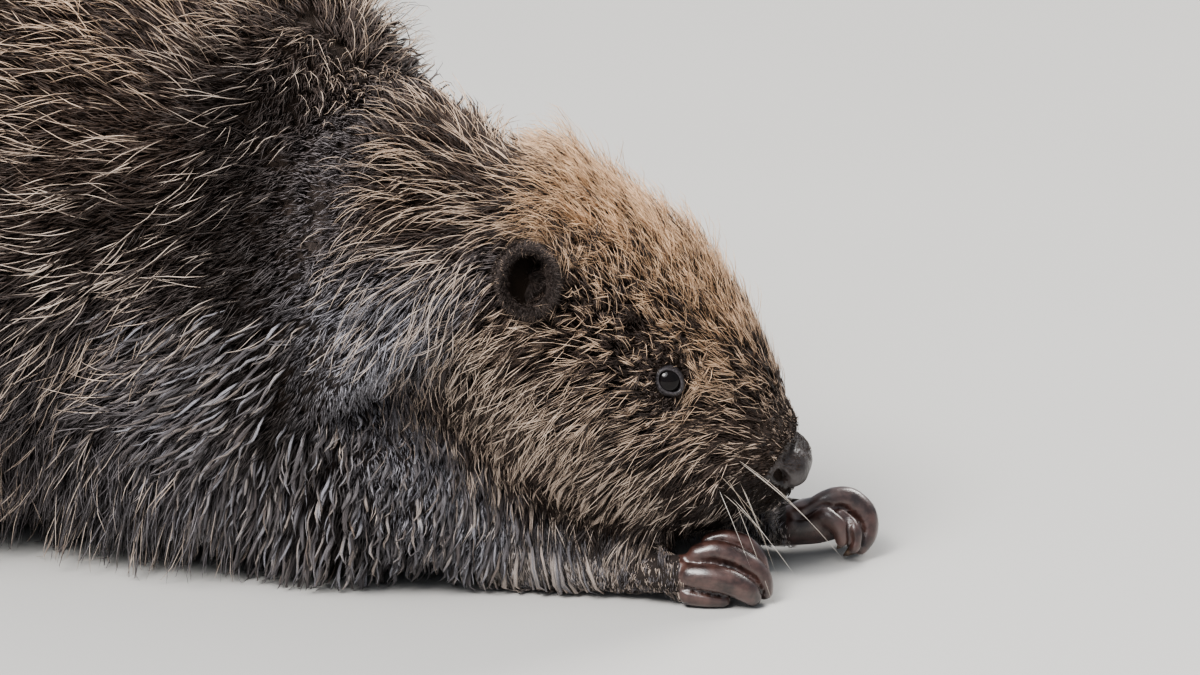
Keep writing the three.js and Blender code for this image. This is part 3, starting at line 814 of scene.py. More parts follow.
# %% Everything joined on
def join_on(piece):
    union = skin.modifiers.new("union", "BOOLEAN")
    union.operation, union.solver, union.object = "UNION", "MANIFOLD", piece
    union.material_mode = "TRANSFER"
    with_modifiers(skin)
    print(f"joined {piece.name}: {len(piece.data.vertices)} points")
    bpy.data.objects.remove(piece)


for side in SIDES:
    hand = remeshed(f"{side}_hand_skin", hand_bmesh(side), 0.0010, 3, bare_skin)
    join_on(gaps_between_fingers(hand, side))
    join_on(remeshed(f"{side}_foot_skin", solids_of([f"{side}_hind_foot"], 0.0002), 0.0024, 4, bare_skin))
    join_on(wider_cup(remeshed(f"{side}_ear_skin", ear_bmesh(side), 0.0010, 3, ear_skin), side))
    join_on(from_bmesh(f"{side}_lid_skin", lid_bmesh(side), lid_skin))
join_on(nose_piece())
join_on(remeshed("tail_skin", solids_of(["tail_paddle"], 0.0002), 0.0042, 4, tail_skin))
move_points(skin.data, above_floor(points_of(skin.data), 0.0002))
skin.data.shade_smooth()
SKIN_KINDS = [m.name for m in skin.data.materials]

# %% Short hair over the wrists, and what the skin replaces
# The short hair of the forearm runs on over the wrist to the back of the hand.
centres = np.array([p.center for p in skin.data.polygons])
along_view, from_view = centres @ np.array(ACROSS), centres @ np.array(AWAY)
kinds = read(skin.data.polygons, "material_index", kind=np.int32)
wrist = (along_view > 0.33) & (along_view < 0.363) & (from_view < -0.15)
wrist |= (along_view > 0.38) & (along_view < 0.408) & (from_view > -0.15)
kinds[wrist & (kinds == SKIN_KINDS.index(bare_skin.name))] = 0
skin.data.polygons.foreach_set("material_index", kinds)
finished(skin, "body_fur", *FURRED, "nose", "tail_paddle",
         *[f"{side}_{part}" for side in SIDES for part in ("hand", "hind_foot", "ear")])
print("one skin:", len(skin.data.vertices), "points,", SKIN_KINDS, clock())

# %% [markdown]
# ## What the coat is like at each place
# Every point of the skin gets a hair length, the room up to the coat's outer face, a direction for the hair,
# and three colour masks. They are blurred along the surface, so that nothing changes suddenly.

# %% The skin's points, faces and room
points, normals, edges = points_of(skin.data), normals_of(skin.data), edges_of(skin.data)
skin.data.calc_loop_triangles()
triangles = read(skin.data.loop_triangles, "vertices", 3, np.int32)
tri_kind = read(skin.data.loop_triangles, "material_index", kind=np.int32)


def of_kind(material):
    """Which triangles of the skin have the material."""
    return tri_kind == SKIN_KINDS.index(material.name)


skin_tree = BVHTree.FromPolygons(points.tolist(), triangles.tolist())
corners = points[triangles]
areas = np.linalg.norm(np.cross(corners[:, 1] - corners[:, 0], corners[:, 2] - corners[:, 0]), axis=1) / 2
region = name_points(points)
on_the_head = region == FURRED.index("head")
off_head = 1.0 - on_the_head
back, aside, up = in_head(points).T
x, y, z = points.T
soft_normals = unit(blurred(normals, edges, 6))


def room_above(i):
    """How far the coat's outer face is above a point of the skin."""
    hit = outline_tree.ray_cast(Vector(points[i]), Vector(soft_normals[i]), 0.03)
    return hit[3] if hit[0] else 0.001


FOLD_X, FOLD_Z, FOLD_LEAN = 0.2736, 0.04, 0.2  # the fold behind the shoulder runs nearly straight up


def past_the_fold(places):
    """How far places are in front of the fold."""
    return places[:, 0] - FOLD_X + (places[:, 2] - FOLD_Z) * FOLD_LEAN


room = blurred([room_above(i) for i in range(len(points))], edges, 14)
print("room for the coat:", in_mm(room))

# %% Hair length
length = by_region(region, 20, neck=38, trunk=48, upper_arm=34, forearm=12, thigh=40)
length = np.where(on_the_head, 9 + (18 + 9 * ramp(-up, 6, 50)) * ramp(back, 20, 85), length)
length = np.where(region == FURRED.index("tail_root"), 9 + 22 * ramp(x, -0.20, -0.12), length)
length = blurred(length, edges, 22)
length = np.minimum(length, 4.6 + 26 * ramp(nearest(points, EYES), 0.0065, 0.032))
length = np.minimum(length, 11 + 30 * ramp(nearest(points, EARS), 0.014, 0.036))
length = np.minimum(length, 2.5 + 14 * ramp(distance_to(points, on_head(8, 0, -12)), 0.022, 0.040)) / 1000
temple = hill(up, 4, 17) * ramp(back, 50, 78) * fall(back, 132, 150)
temple *= ramp(abs(aside), 24, 40) * on_the_head
length *= 1 - 0.42 * temple
past_fold = past_the_fold(points)
length *= 1 - 0.55 * hill(past_fold, 0.026, 0.020) * off_head * fall(z, 0.20, 0.23)
print("hairs of", in_mm(length))

# %% Lie of the coat
DOWN, BACK = np.array([0, 0, -1.0]), np.array([-1.0, 0, 0])


def scaled(direction, amounts):
    """One direction, as long at each point as the amounts say."""
    return np.outer(amounts, direction)


behind_fold, low = ramp(-past_fold, -0.015, 0.020), fall(z, 0.02, 0.19)
hang = 0.16 + 0.55 * low * behind_fold + (0.85 + 0.9 * low) * (1 - behind_fold) + 2.2 * fall(z, 0.012, 0.07)
flow = scaled(BACK, 1 - 0.35 * low) + scaled(DOWN, hang)
cheek = ramp(-up, -4, 66)
head_flow = scaled(-FORWARD, 1 - 0.5 * cheek) + scaled(DOWN, 0.30 * ramp(-up, -24, 0) + 1.15 * cheek)
head_flow += scaled(LEFT, np.sign(aside) * 0.22 * (1 - cheek))
flow = np.where(on_the_head[:, None], head_flow, flow)
for side, s in SIDES.items():
    limbs = {"forearm": (0.10, s * 0.05, -1), "upper_arm": (-0.2, 0, -1), "thigh": (-0.8, 0, -0.6)}
    for part, way in limbs.items():
        flow[region == FURRED.index(f"{side}_{part}")] = way
flow = unit(blurred(unit(flow), edges, 30))
# Round the eyes and the ears the hair turns aside.
for spots, inner, outer, push in ((EYES, 0.007, 0.020, 1.2), (EARS, 0.012, 0.022, 0.9)):
    for spot in spots.values():
        near = push * fall(distance_to(points, spot), inner, outer)
        flow += unit(points - np.array(spot)) * near[:, None]
flow += 0.22 * np.stack([waves(points, 34, k) for k in (0.0, 3.0, 6.0)], 1)
flow = unit(flow - normals * np.sum(flow * normals, 1)[:, None])
hangs = blurred(by_region(region, 0.0, trunk=1.0, thigh=1.0, upper_arm=0.6), edges, 10)
print("hair lies down most at", round(-flow[:, 2].min(), 2), "of straight down")

# %% [markdown]
# ## Markings
# The crown and nape are golden, the cheeks tan, the jaw and back dark with pale needles between, and the
# wet shoulder, chest and forearms grey, brightened to silver as painted sky sheen. The fold behind the shoulder
# has few needles, and all its colours are darkened as painted shade.

# %% Where the coat changes: muzzle, neck, crest, painted shade of the fold, parted grey band, shoulder and wrist
high, muzzle = ramp(up, -40, 22), fall(back, 24, 72)
neck_top = ramp(x, 0.26, 0.32) * ramp(z, 0.145, 0.185)
crest = ramp(z, 0.185, 0.220) * ramp(x, 0.12, 0.20)
fold = hill(past_fold, -0.002, 0.022) * fall(z, 0.21, 0.24)
parted = hill(past_fold, 0.024, 0.016) * ramp(z, 0.10, 0.14) * fall(z, 0.190, 0.210)
parted *= 0.65 - 0.40 * ramp(y, -0.01, 0.03)
shoulder = np.maximum((1 - behind_fold) * fall(z, 0.125, 0.165), parted * 0.8)
forearm = by_region(region, 0.0, forearm=1.0)
wrist = forearm * ramp(points @ np.array(ACROSS), 0.318, 0.345) * (points @ np.array(AWAY) < -0.15)

# %% The three masks
golden = on_the_head * (0.18 + 0.72 * high) * (1 - 0.55 * muzzle)
golden += off_head * (0.20 + 0.24 * ramp(z, 0.15, 0.23) + 0.3 * neck_top + 0.1 * crest)
# In the fold behind the shoulder, the golden, pale and grey masks are cut as painted shade.
golden = golden * (1 - 0.9 * fold * off_head) * (1 - 0.3 * temple)
pale_head = (0.42 + 0.28 * high - 0.24 * ramp(-up, 44, 80)) * (1 - 0.62 * muzzle) - 0.36 * temple
pale_body = 0.12 + 0.06 * ramp(z, 0.15, 0.23) + 0.04 * shoulder + 0.20 * neck_top + 0.08 * crest
pale_body -= 0.06 * parted + 0.10 * fall(z, 0.06, 0.12) * behind_fold
pale = on_the_head * pale_head + off_head * (pale_body * (1 - 0.9 * fold))
# The grey mask is grey underfur. Low on the body, on the shoulder and on the forearm it also stands for painted
# sky sheen on the wet hair.
low_grey_and_sheen = (0.25 + 0.25 * ramp(past_fold, -0.16, -0.04)) * low
grey_and_sheen = off_head * np.maximum(shoulder * 0.95, low_grey_and_sheen) * (1 - 0.9 * fold)
# On the forearm the fur is made grey and paler, partly as painted sky sheen on the wet hair.
grey_and_sheen, golden, pale = grey_and_sheen * (1 - forearm) + forearm * 0.9, golden * (1 - forearm), pale + 0.25 * forearm
grey_and_sheen, golden, pale = grey_and_sheen * (1 - 0.55 * wrist), golden + 0.22 * wrist, pale - 0.32 * wrist
patch = waves(points, 26, 2.0)
marks = np.stack([golden + 0.14 * patch, pale + 0.10 * waves(points, 40, 5.0), grey_and_sheen + 0.10 * patch], 1)
# There all three masks are darkened once more, as painted shade in the fold.
marks *= (1 - 0.8 * (fold * off_head))[:, None]
# Round the mouth, and close round the eyes and ears, the short hair is dark. The mouth's mask also reaches the
# bottom of the nose pad, where it darkens the bare skin below the nostrils as painted shade.
lips_and_nose_shade = on_the_head * fall(back, 16, 30) * ramp(-up, 8, 18)
dark_ring = np.maximum(fall(nearest(points, EARS), 0.013, 0.020), fall(nearest(points, EYES), 0.006, 0.010))
marks[:, :2] *= (1 - 0.8 * np.maximum(lips_and_nose_shade, 0.4 * dark_ring))[:, None]
marks = np.clip(blurred(marks, edges, 12), 0, 1)
fluff = np.maximum(on_the_head * ramp(up, 2, 24), off_head * ramp(z, 0.195, 0.225) * ramp(x, 0.15, 0.22))
fluff = blurred(fluff, edges, 10)


def set_colours(mesh, name, colours):
    full = np.ones((len(colours), 4), np.float32)
    full[:, :3] = colours
    mesh.attributes.new(name, "FLOAT_COLOR", "POINT").data.foreach_set("color", full.reshape(-1))


def set_vectors(mesh, name, vectors):
    data = mesh.attributes.new(name, "FLOAT_VECTOR", "POINT").data
    data.foreach_set("vector", np.ascontiguousarray(vectors, np.float32).reshape(-1))


set_colours(skin.data, "mark", marks)
set_vectors(skin.data, "lie", flow)
print("golden, pale and grey on average:", np.round(marks.mean(0), 2), clock())

# %% [markdown]
# ## Growing the coat
# Particle hair would not survive as a real shape, so each hair here is a thin closed solid: a point at the
# root, one or two small rings, and a point at the tip. First come guide hairs, which creep along the skin
# and rise to the coat's outer face. Then each guide carries a handful of hairs. Some keep to themselves and
# some draw together at the tips, as wet fur does. The shorter, darker and wider ones make the underfur.

# %% Guides
GUIDE_STEPS = 6
CLEAR_OF_EYE, CLEAR_OF_EAR, CLEAR_OF_NOSTRIL, CLEAR_OF_FLOOR = 0.0064, 0.010, 3.2, 0.0015
TIP_CLEAR_OF_EYE, TIP_CLEAR_OF_NOSTRIL = 0.0059, 2.6


def scatter(mask, spacing):
    """Evenly spread places on part of the skin, about spacing apart, and the triangle that each is on."""
    chance = areas * mask
    count = int(chance.sum() / spacing**2 * 4)
    pick = rng.choice(len(areas), count, p=chance / chance.sum())
    u, v = rng.random((2, count))
    over = u + v > 1
    u[over], v[over] = 1 - u[over], 1 - v[over]
    spots = np.einsum("ij,ijk->ik", np.stack([1 - u - v, u, v], 1), corners[pick])
    cells = np.floor(spots / spacing).astype(np.int64) @ np.array([1, 100003, 10000000019])
    _, first = np.unique(cells, return_index=True)
    return spots[first], pick[first]


def scatter_clear(mask, spacing):
    """The same, but away from the eyes, the ears, the nostrils and the floor."""
    spots, faces = scatter(mask, spacing)
    clear = (nearest(spots, EYES) > CLEAR_OF_EYE) & (nearest(spots, EARS) > CLEAR_OF_EAR)
    clear &= (from_nostrils(in_head(spots)) > CLEAR_OF_NOSTRIL) & (spots[:, 2] > CLEAR_OF_FLOOR)
    return spots[clear], faces[clear], triangles[faces[clear], 0]


def grow_guides(spots, faces, reach, lift):
    """Creeps guides over the skin, always measured from the nearest skin, so that they hug every fold. The
    points, the way up at each, and a direction across each guide come back."""
    paths, ups = np.empty((2, len(spots), GUIDE_STEPS, 3))
    on_skin, face = spots.copy(), faces.copy()
    steps = np.linspace(0, 1, GUIDE_STEPS)
    for k, s in enumerate(steps):
        at = triangles[face]
        ups[:, k] = unit(soft_normals[at].mean(1))
        paths[:, k] = on_skin + ups[:, k] * (room[at[:, 0]] * lift * (1 - (1 - s) ** 3.2))[:, None]
        if s < 1:
            moved = on_skin + unit(flow[at].mean(1)) * (reach / (GUIDE_STEPS - 1))[:, None]
            hits = [skin_tree.find_nearest(Vector(p)) for p in moved]
            on_skin, face = np.array([h[0] for h in hits]), np.array([h[2] for h in hits])
    # Low on the flanks, where the body curves in under itself, the hair hangs straight down to the floor.
    s = steps[None, :, None]
    drift = paths[:, :1] + (np.array([-0.25, 0, -1.0]) * reach[:, None])[:, None] * s
    drift += ups[:, :1] * 0.006 * np.sin(s * 2.2)
    free = fall(spots[:, 2], 0.040, 0.085) * fall(ups[:, 0, 2], 0.15, 0.5) * hangs[triangles[faces, 0]]
    paths = paths + (drift - paths) * free[:, None, None]
    return paths, ups, unit(np.cross(ups[:, 0], unit(paths[:, 1] - paths[:, 0])))


def along_paths(paths, at):
    """Points part of the way along each path; at is (paths, steps), between 0 and 1."""
    place = np.clip(at, 0, 1) * (GUIDE_STEPS - 1)
    i = np.minimum(place.astype(int), GUIDE_STEPS - 2)
    part = (place - i)[..., None]
    rows = np.arange(len(paths))[:, None]
    return paths[rows, i] * (1 - part) + paths[rows, i + 1] * part


# %% Strands as closed solids
HAIR = [(-1, -0.35), (1, -0.35), (0, 0.75)]
LOCK = [(-1, 0), (-0.4, -0.25), (0.4, -0.25), (1, 0), (0.4, 0.30), (-0.4, 0.30)]
WHISKER = [(-1, -0.6), (1, -0.6), (0, 1)]
PIECE_LIMIT = 185000  # triangles in one coat object
coat_triangles = []


def strand_arrays(ring, paths, ups, widths):
    """One closed solid along each path: a root point, a ring at each middle point, and a tip point."""
    count, steps, _ = paths.shape
    ring, n, rows = np.array(ring, float), len(ring), steps - 2
    sides = unit(np.cross(np.gradient(paths, axis=1), ups))
    lifts = unit(np.cross(sides, np.gradient(paths, axis=1)))
    body = paths[:, 1:-1, None] + sides[:, 1:-1, None] * (ring[:, 0] * widths[:, :, None])[..., None]
    body = body + lifts[:, 1:-1, None] * (ring[:, 1] * widths[:, :, None])[..., None]
    verts = np.concatenate([paths[:, :1], body.reshape(count, -1, 3), paths[:, -1:]], 1)
    j = np.arange(n)
    after, last = (j + 1) % n, 1 + (rows - 1) * n
    root = np.stack([0 * j, 1 + after, 1 + j], 1)
    tip = np.stack([last + j, last + after, 0 * j + rows * n + 1], 1)
    base = np.arange(count)[:, None, None] * (rows * n + 2)
    faces = [(np.concatenate([root, tip])[None] + base).reshape(-1, 3)]
    if rows > 1:
        k = 1 + np.repeat(np.arange(rows - 1), n) * n
        a, b = k + np.tile(j, rows - 1), k + np.tile(after, rows - 1)
        faces.append((np.stack([a, b, b + n, a + n], 1)[None] + base).reshape(-1, 4))
    along = np.concatenate([[0], np.repeat(np.linspace(0, 1, steps)[1:-1], n), [1]])
    across = np.concatenate([[0], np.tile(ring[:, 0], rows), [0]])
    return verts, faces, along, across


def bake_map(mesh, patches):
    """The map OFBake, from one place on the map for each point of the mesh."""
    corner = read(mesh.loops, "vertex_index", kind=np.int32)
    places = patches.reshape(-1, 2)[corner].astype(np.float32)
    mesh.uv_layers.new(name="OFBake").data.foreach_set("uv", places.reshape(-1))


def coat_piece(name, slot, material, ring, paths, ups, widths, seeds, marks, roots):
    """One coat object. On its map each strand has a small patch at its root's place on the skin."""
    verts, faces, along, across = strand_arrays(ring, paths, ups, widths)
    mesh = mesh_from(name, verts.reshape(-1, 3), faces)
    strand = np.empty(verts.shape, np.float32)
    strand[..., 0], strand[..., 1], strand[..., 2] = along, across, seeds[:, None]
    set_vectors(mesh, "strand", strand)
    set_colours(mesh, "mark", np.repeat(marks, len(along), 0))
    centre = roots.mean(0)
    flat = np.stack([roots[:, 0], np.arctan2(roots[:, 1] - centre[1], roots[:, 2] - centre[2])], 1)
    flat = 0.005 + 0.985 * (flat - flat.min(0)) / (np.ptp(flat, axis=0) + 1e-9)
    bake_map(mesh, flat[:, None] + 0.003 * np.stack([strand[..., 1] * 0.5 + 0.5, strand[..., 0]], -1))
    finished(new_object(name, mesh, material), slot)
    coat_triangles.append(sum((f.shape[1] - 2) * len(f) for f in faces))
    print(f"{name}: {len(verts)} strands, {coat_triangles[-1]} triangles")


def in_pieces(name, slot, material, ring, paths, *rest):
    """Splits many strands into pieces that each stay under the limit."""
    roots = rest[-1]
    most = PIECE_LIMIT // (2 * len(ring) * (paths.shape[1] - 2))
    pieces = math.ceil(len(paths) / most)
    order = np.argsort(roots[:, 0])
    for part in range(pieces):
        cut = order[part * len(order) // pieces:(part + 1) * len(order) // pieces]
        coat_piece(f"{name}_{part + 1}" if pieces > 1 else name, slot, material, ring,
                   *[values[cut] for values in (paths, *rest)])


# %% Covering a part of the skin
STYLES = {
    # Underfur is short, dark, wide and low. It closes the coat.
    "under": dict(part=(0.40, 0.72), stand=(0.40, 0.75), spread=0.9, gather=(0.0, 0.4), tuft_sway=8, sway=11,
                  seeds=(0.0, 0.8), alike=0.3, paler=-0.28),
    # A wet tuft has a narrow foot and its hairs draw together into one point.
    "tuft": dict(part=(0.70, 1.0), stand=(0.80, 1.20), spread=0.52, gather=(0.65, 0.95), tuft_sway=15, sway=8,
                 seeds=(0.0, 1.0), alike=0.6, paler=0.0),
    # Needles are the long guard hairs. They lie on top, cross one another, and catch the light.
    "needle": dict(part=(0.80, 1.15), stand=(1.05, 1.55), spread=1.0, gather=(0.0, 0.5), tuft_sway=9, sway=11,
                   seeds=(0.45, 1.0), alike=0.3, paler=0.35),
}
RING_WIDTHS = {1: [1.0], 2: [1.0, 0.8], 4: [0.8, 1.0, 0.85, 0.55]}


def turned(vectors, axes, angles):
    """Vectors turned about unit axes."""
    c, s = np.cos(angles)[:, None, None], np.sin(angles)[:, None, None]
    axes = np.broadcast_to(axes[:, None], vectors.shape)
    along = axes * np.sum(axes * vectors, -1, keepdims=True)
    return vectors * c + np.cross(axes, vectors) * s + along * (1 - c)


def cover(name, mask, style, per_cm2, spacing, half_width, slot="body_fur", rings=1, wave=0.0, reach=1.0,
          **changes):
    """Grows one layer of hair: how many per square centimetre, and how far apart the guides are."""
    look = {**STYLES[style], **changes}
    spots, faces, at = scatter_clear(mask, spacing)
    guides = len(spots)
    lift = rng.uniform(0.85, 1.05, guides) * (1 + 0.22 * waves(spots, 75, 4.0))
    paths, ups, side = grow_guides(spots, faces, length[at] * reach * rng.uniform(0.85, 1.1, guides), lift)
    who = np.repeat(np.arange(guides), max(2, round((areas * mask).sum() * 1e4 * per_cm2 / guides)))
    n, steps = len(who), np.linspace(0, 1, rings + 2)
    # Hairs of one tuft are alike, and neighbouring tufts are a little alike too.
    alike, (low_seed, high_seed) = look["alike"], look["seeds"]
    seeds = rng.random(guides)[who] * alike + rng.random(n) * (1 - alike)
    seeds = (seeds - 0.5) / (alike**2 + (1 - alike) ** 2) ** 0.5 + 0.5
    seeds = low_seed + np.clip(seeds, 0, 1) * (high_seed - low_seed)
    mark = marks[at]
    mark[:, 1] = np.clip(mark[:, 1] + look["paler"] + 0.10 * waves(spots, 95, 2.0), 0.0, 1)
    mark, root, side, root_up = mark[who], spots[who], side[who], ups[who][:, 0]
    s = steps ** (1.35 if rings == 1 else 1.0) * rng.uniform(*look["part"], n)[:, None]
    up_here = along_paths(ups[who], s)
    way = along_paths(paths[who], s) - paths[who][:, :1]
    tuft_sway = rng.normal(0, 1, guides) * (look["tuft_sway"] + 22 * temple[at])
    sway = 12 * waves(spots, 62, 1.0)[who] + tuft_sway[who] + rng.normal(0, look["sway"], n)
    way = turned(way, root_up, np.radians(sway))
    # Each hair stands a little above or below its guide, and more so where the coat is fluffy.
    height = np.sum(way * up_here, -1, keepdims=True)
    stand = rng.uniform(*look["stand"], n) + fluff[at][who] * rng.uniform(-0.1, 0.8, n) * (style != "under")
    way += up_here * height * (stand - 1)[:, None, None]
    angle, radius = rng.uniform(0, 2 * np.pi, n), spacing * look["spread"] * np.sqrt(rng.random(n))
    offset = side * (np.cos(angle) * radius)[:, None]
    offset += np.cross(side, root_up) * (np.sin(angle) * radius)[:, None]
    gather = 1 - rng.uniform(*look["gather"], n)[:, None] * steps**0.8
    path = paths[who][:, :1] + way + offset[:, None] * gather[..., None]
    path[:, 0] -= up_here[:, 0] * 0.001
    if wave:
        phase = rng.uniform(0, 2 * np.pi, guides)[who][:, None] + rng.normal(0, 0.5, n)[:, None]
        path += side[:, None] * (np.sin(phase + s * 5.0) * s * wave)[..., None]
    above_floor(path, rng.uniform(0.0008, 0.0022, n)[:, None])
    bright = ramp(seeds + mark[:, 1], BRIGHT_FROM, BRIGHT_TO)
    thick = half_width * (1.1 - 0.2 * bright) * rng.uniform(0.75, 1.25, n)
    widths = thick[:, None] * np.array(RING_WIDTHS[rings])
    # No hair crosses an eye or a nostril.
    free = nearest(path.reshape(-1, 3), EYES).reshape(n, -1).min(1) > TIP_CLEAR_OF_EYE
    free &= from_nostrils(in_head(path[:, -1])) > TIP_CLEAR_OF_NOSTRIL
    in_pieces(name, slot, hair_material, HAIR, *[v[free] for v in (path, up_here, widths, seeds, mark, root)])


# %% Wet locks
def wet_locks(name, mask, spacing, half_width, longer, lift, seeds=(0.0, 0.4), wave=0.002, slot="body_fur",
              tint=None):
    """Broad pointed locks of wet hair, wavy, drawn to a point at the tip."""
    spots, faces, at = scatter_clear(mask, spacing)
    n = len(spots)
    paths, ups, side = grow_guides(spots, faces, length[at] * longer * rng.uniform(0.75, 1.15, n),
                                   rng.uniform(0.6, 1.0, n) * lift)
    s = np.linspace(0, 1, GUIDE_STEPS)
    bend = np.sin(rng.uniform(0, 2 * np.pi, (n, 1)) + s * rng.uniform(3, 6, (n, 1))) * s * wave
    paths += side[:, None] * bend[..., None]
    paths[:, 0] -= ups[:, 0] * 0.0015
    above_floor(paths, rng.uniform(0.001, 0.002, n)[:, None])
    widths = half_width * np.array([0.6, 1.0, 0.9, 0.55]) * rng.uniform(0.45, 1.4, (n, 1))
    seeds = rng.uniform(*seeds, n)
    mark = marks[at] if tint is None else np.clip(rng.normal(tint, 0.06, (n, 3)), 0, 1)
    in_pieces(name, slot, lock_material, LOCK, paths, ups, widths, seeds, mark, spots)

# %% [markdown]
# ## The coat, region by region
# The side that is seen closest gets the finest and densest hair. Elsewhere the hairs are fewer and wider, so
# that the whole coat stays light enough to handle. Under the belly, which rests on the floor, it is sparse.

# %% Regions
tri_region, middle = region[triangles[:, 0]], corners.mean(1)
on_belly = (middle[:, 2] < 0.022) & (normals[triangles[:, 0], 2] < -0.8)
thinned = np.where(on_belly, 0.15, 1.0) * of_kind(fur_skin)
right_side, front = middle[:, 1] < 0, middle[:, 0] > 0.12
back, aside, up = in_head(middle).T
past_fold = past_the_fold(middle)


def part_mask(*names):
    chosen = [i for i, n in enumerate(FURRED) if any(n.endswith(k) for k in names)]
    return np.isin(tri_region, chosen) * thinned


HEAD, NECK, TRUNK, THIGH, UPPER_ARM, FOREARM, TAIL_ROOT = masks = [
    part_mask(part) for part in ("head", "neck", "trunk", "thigh", "upper_arm", "forearm", "tail_root")]
wet = ramp(0.135 - middle[:, 2], 0.0, 0.035) * ramp(past_fold, -0.070, -0.035) * right_side
parting = hill(past_fold, 0.024, 0.016) * ramp(middle[:, 2], 0.10, 0.14)
parting *= ramp(0.215 - middle[:, 2], 0.0, 0.02)
on_shoulder = np.maximum(ramp(past_fold, -0.02, 0.0) * ramp(0.150 - middle[:, 2], 0.0, 0.04), parting)
in_fold = hill(past_fold, 0.002, 0.021) * ramp(0.235 - middle[:, 2], 0.0, 0.03)
needled = (1 - 0.75 * on_shoulder) * (1 - 0.85 * in_fold) * (1 - wet)
print("cm2 of each region:", [round((areas * mask).sum() * 1e4) for mask in masks])

# %% Head
close_fur = np.maximum(fall(nearest(middle, EYES), 0.009, 0.016), fall(back, 20, 34))
for side, fine in (("right", 1.0), ("left", 0.45)):
    here, wide = HEAD * ((aside < 0) == (side == "right")), 1 / fine**0.5
    cover(f"face_short_{side}", here * close_fur, "under", 150 * fine, 0.0024 * wide, 0.00015 * wide,
          "head_fur", part=(0.6, 1.0), seeds=(0, 1), paler=-0.12)
    here = here * (1 - 0.7 * close_fur)
    cover(f"head_under_{side}", here, "under", 74 * fine, 0.0036, 0.00028 * wide, "head_fur", paler=-0.36)
    cover(f"head_tufts_{side}", here, "tuft", 58 * fine, 0.0044 * wide, 0.00021 * wide, "head_fur",
          rings=2 if side == "right" else 1, reach=1.25, gather=(0.85, 1.0), spread=0.38, alike=0.52,
          tuft_sway=18)
    cover(f"head_needles_{side}", here, "needle", 8 * fine, 0.0060, 0.00018 * wide, "head_fur", rings=2,
          reach=1.25)

# The pad of the nose has a down of very short hairs along its edge, so that fur and bare skin run together.
pad = of_kind(nose_skin) * ramp(back + 0.5 * up, -1, 10)
cover("nose_down", pad, "under", 420, 0.0014, 0.00006, "head_fur", part=(0.5, 1.1), paler=-0.3)

# %% Neck and trunk: how fine the hair is, how many needles, and how much paler the underfur and needles are
for name, here, fine, needles, under_paler, needle_paler in (
        ("neck_right", NECK * right_side, 1.0, 7, -0.40, 0.35),
        ("neck_left", NECK * ~right_side, 0.4, 7, -0.40, 0.35),
        ("trunk_front", TRUNK * right_side * front, 0.85, 4.2, -0.28, 0.22),
        ("trunk_right", TRUNK * right_side * ~front, 0.33, 7.5, -0.28, 0.12),
        ("trunk_left", TRUNK * ~right_side, 0.25, 7.5, -0.28, 0.12)):
    wide, near = 1 / fine**0.5, fine > 0.5
    cover(f"{name}_under", here, "under", 64 * fine, 0.0050 * wide, 0.00029 * wide, wave=0.001,
          paler=under_paler)
    cover(f"{name}_tufts", here * needled, "tuft", 14 * fine, 0.0064 * wide, 0.00027 * wide,
          rings=2 if near else 1, wave=0.001, reach=1.3, gather=(0.75, 1.0), paler=-0.12, alike=0.5)
    cover(f"{name}_needles", here * needled, "needle", needles * fine, 0.0110 * wide,
          0.00022 * wide * (0.8 if fine < 0.35 else 1), rings=4 if near else 2, wave=0.0015, reach=1.6,
          spread=0.8, gather=(0.1, 0.85), tuft_sway=14, sway=8, paler=needle_paler)

# %% Tail root, legs and arms: a mask, a style, hairs per square centimetre, spacing and half width
for name, here, style, per_cm2, spacing, half_width, wave in (
        ("tail_root_under", TAIL_ROOT, "under", 26, 0.0060, 0.00050, 0),
        ("tail_root_needles", TAIL_ROOT, "needle", 4, 0.0060, 0.00036, 0),
        ("thigh_under", THIGH, "under", 17, 0.0070, 0.00058, 0),
        ("thigh_tufts", THIGH, "tuft", 7, 0.0090, 0.00048, 0),
        ("thigh_needles", THIGH, "needle", 3.5, 0.0090, 0.00040, 0),
        ("upper_arm_under", UPPER_ARM, "under", 60, 0.0048, 0.00030, 0.0012),
        ("upper_arm_tufts", UPPER_ARM * (1 - 0.8 * wet), "tuft", 20, 0.0060, 0.00026, 0.0015)):
    cover(name, here, style, per_cm2, spacing, half_width, wave=wave)
cover("forearm_coat", FOREARM, "under", 215, 0.0034, 0.00016, part=(0.6, 1.0), gather=(0.2, 0.9),
      seeds=(0, 1), alike=0.6, paler=0.28, tuft_sway=5, sway=4)
# Fine pale fluff stands along the crest of the neck and on the crown.
cover("crest_fluff", (TRUNK + NECK + HEAD) * fluff[triangles[:, 0]], "needle", 8, 0.0080, 0.00013, rings=2,
      stand=(1.2, 2.3), tuft_sway=16, sway=14, paler=0.35)

# %% Wet locks on the chest, the jaw and the elbow
chest = part_mask("trunk", "upper_arm") * wet * (middle[:, 0] < 0.36)
jaw = HEAD * (up < -40) * (back > 34)
elbow = FOREARM * (distance_to(middle, (0.345, -0.030, 0.026)) < 0.026)
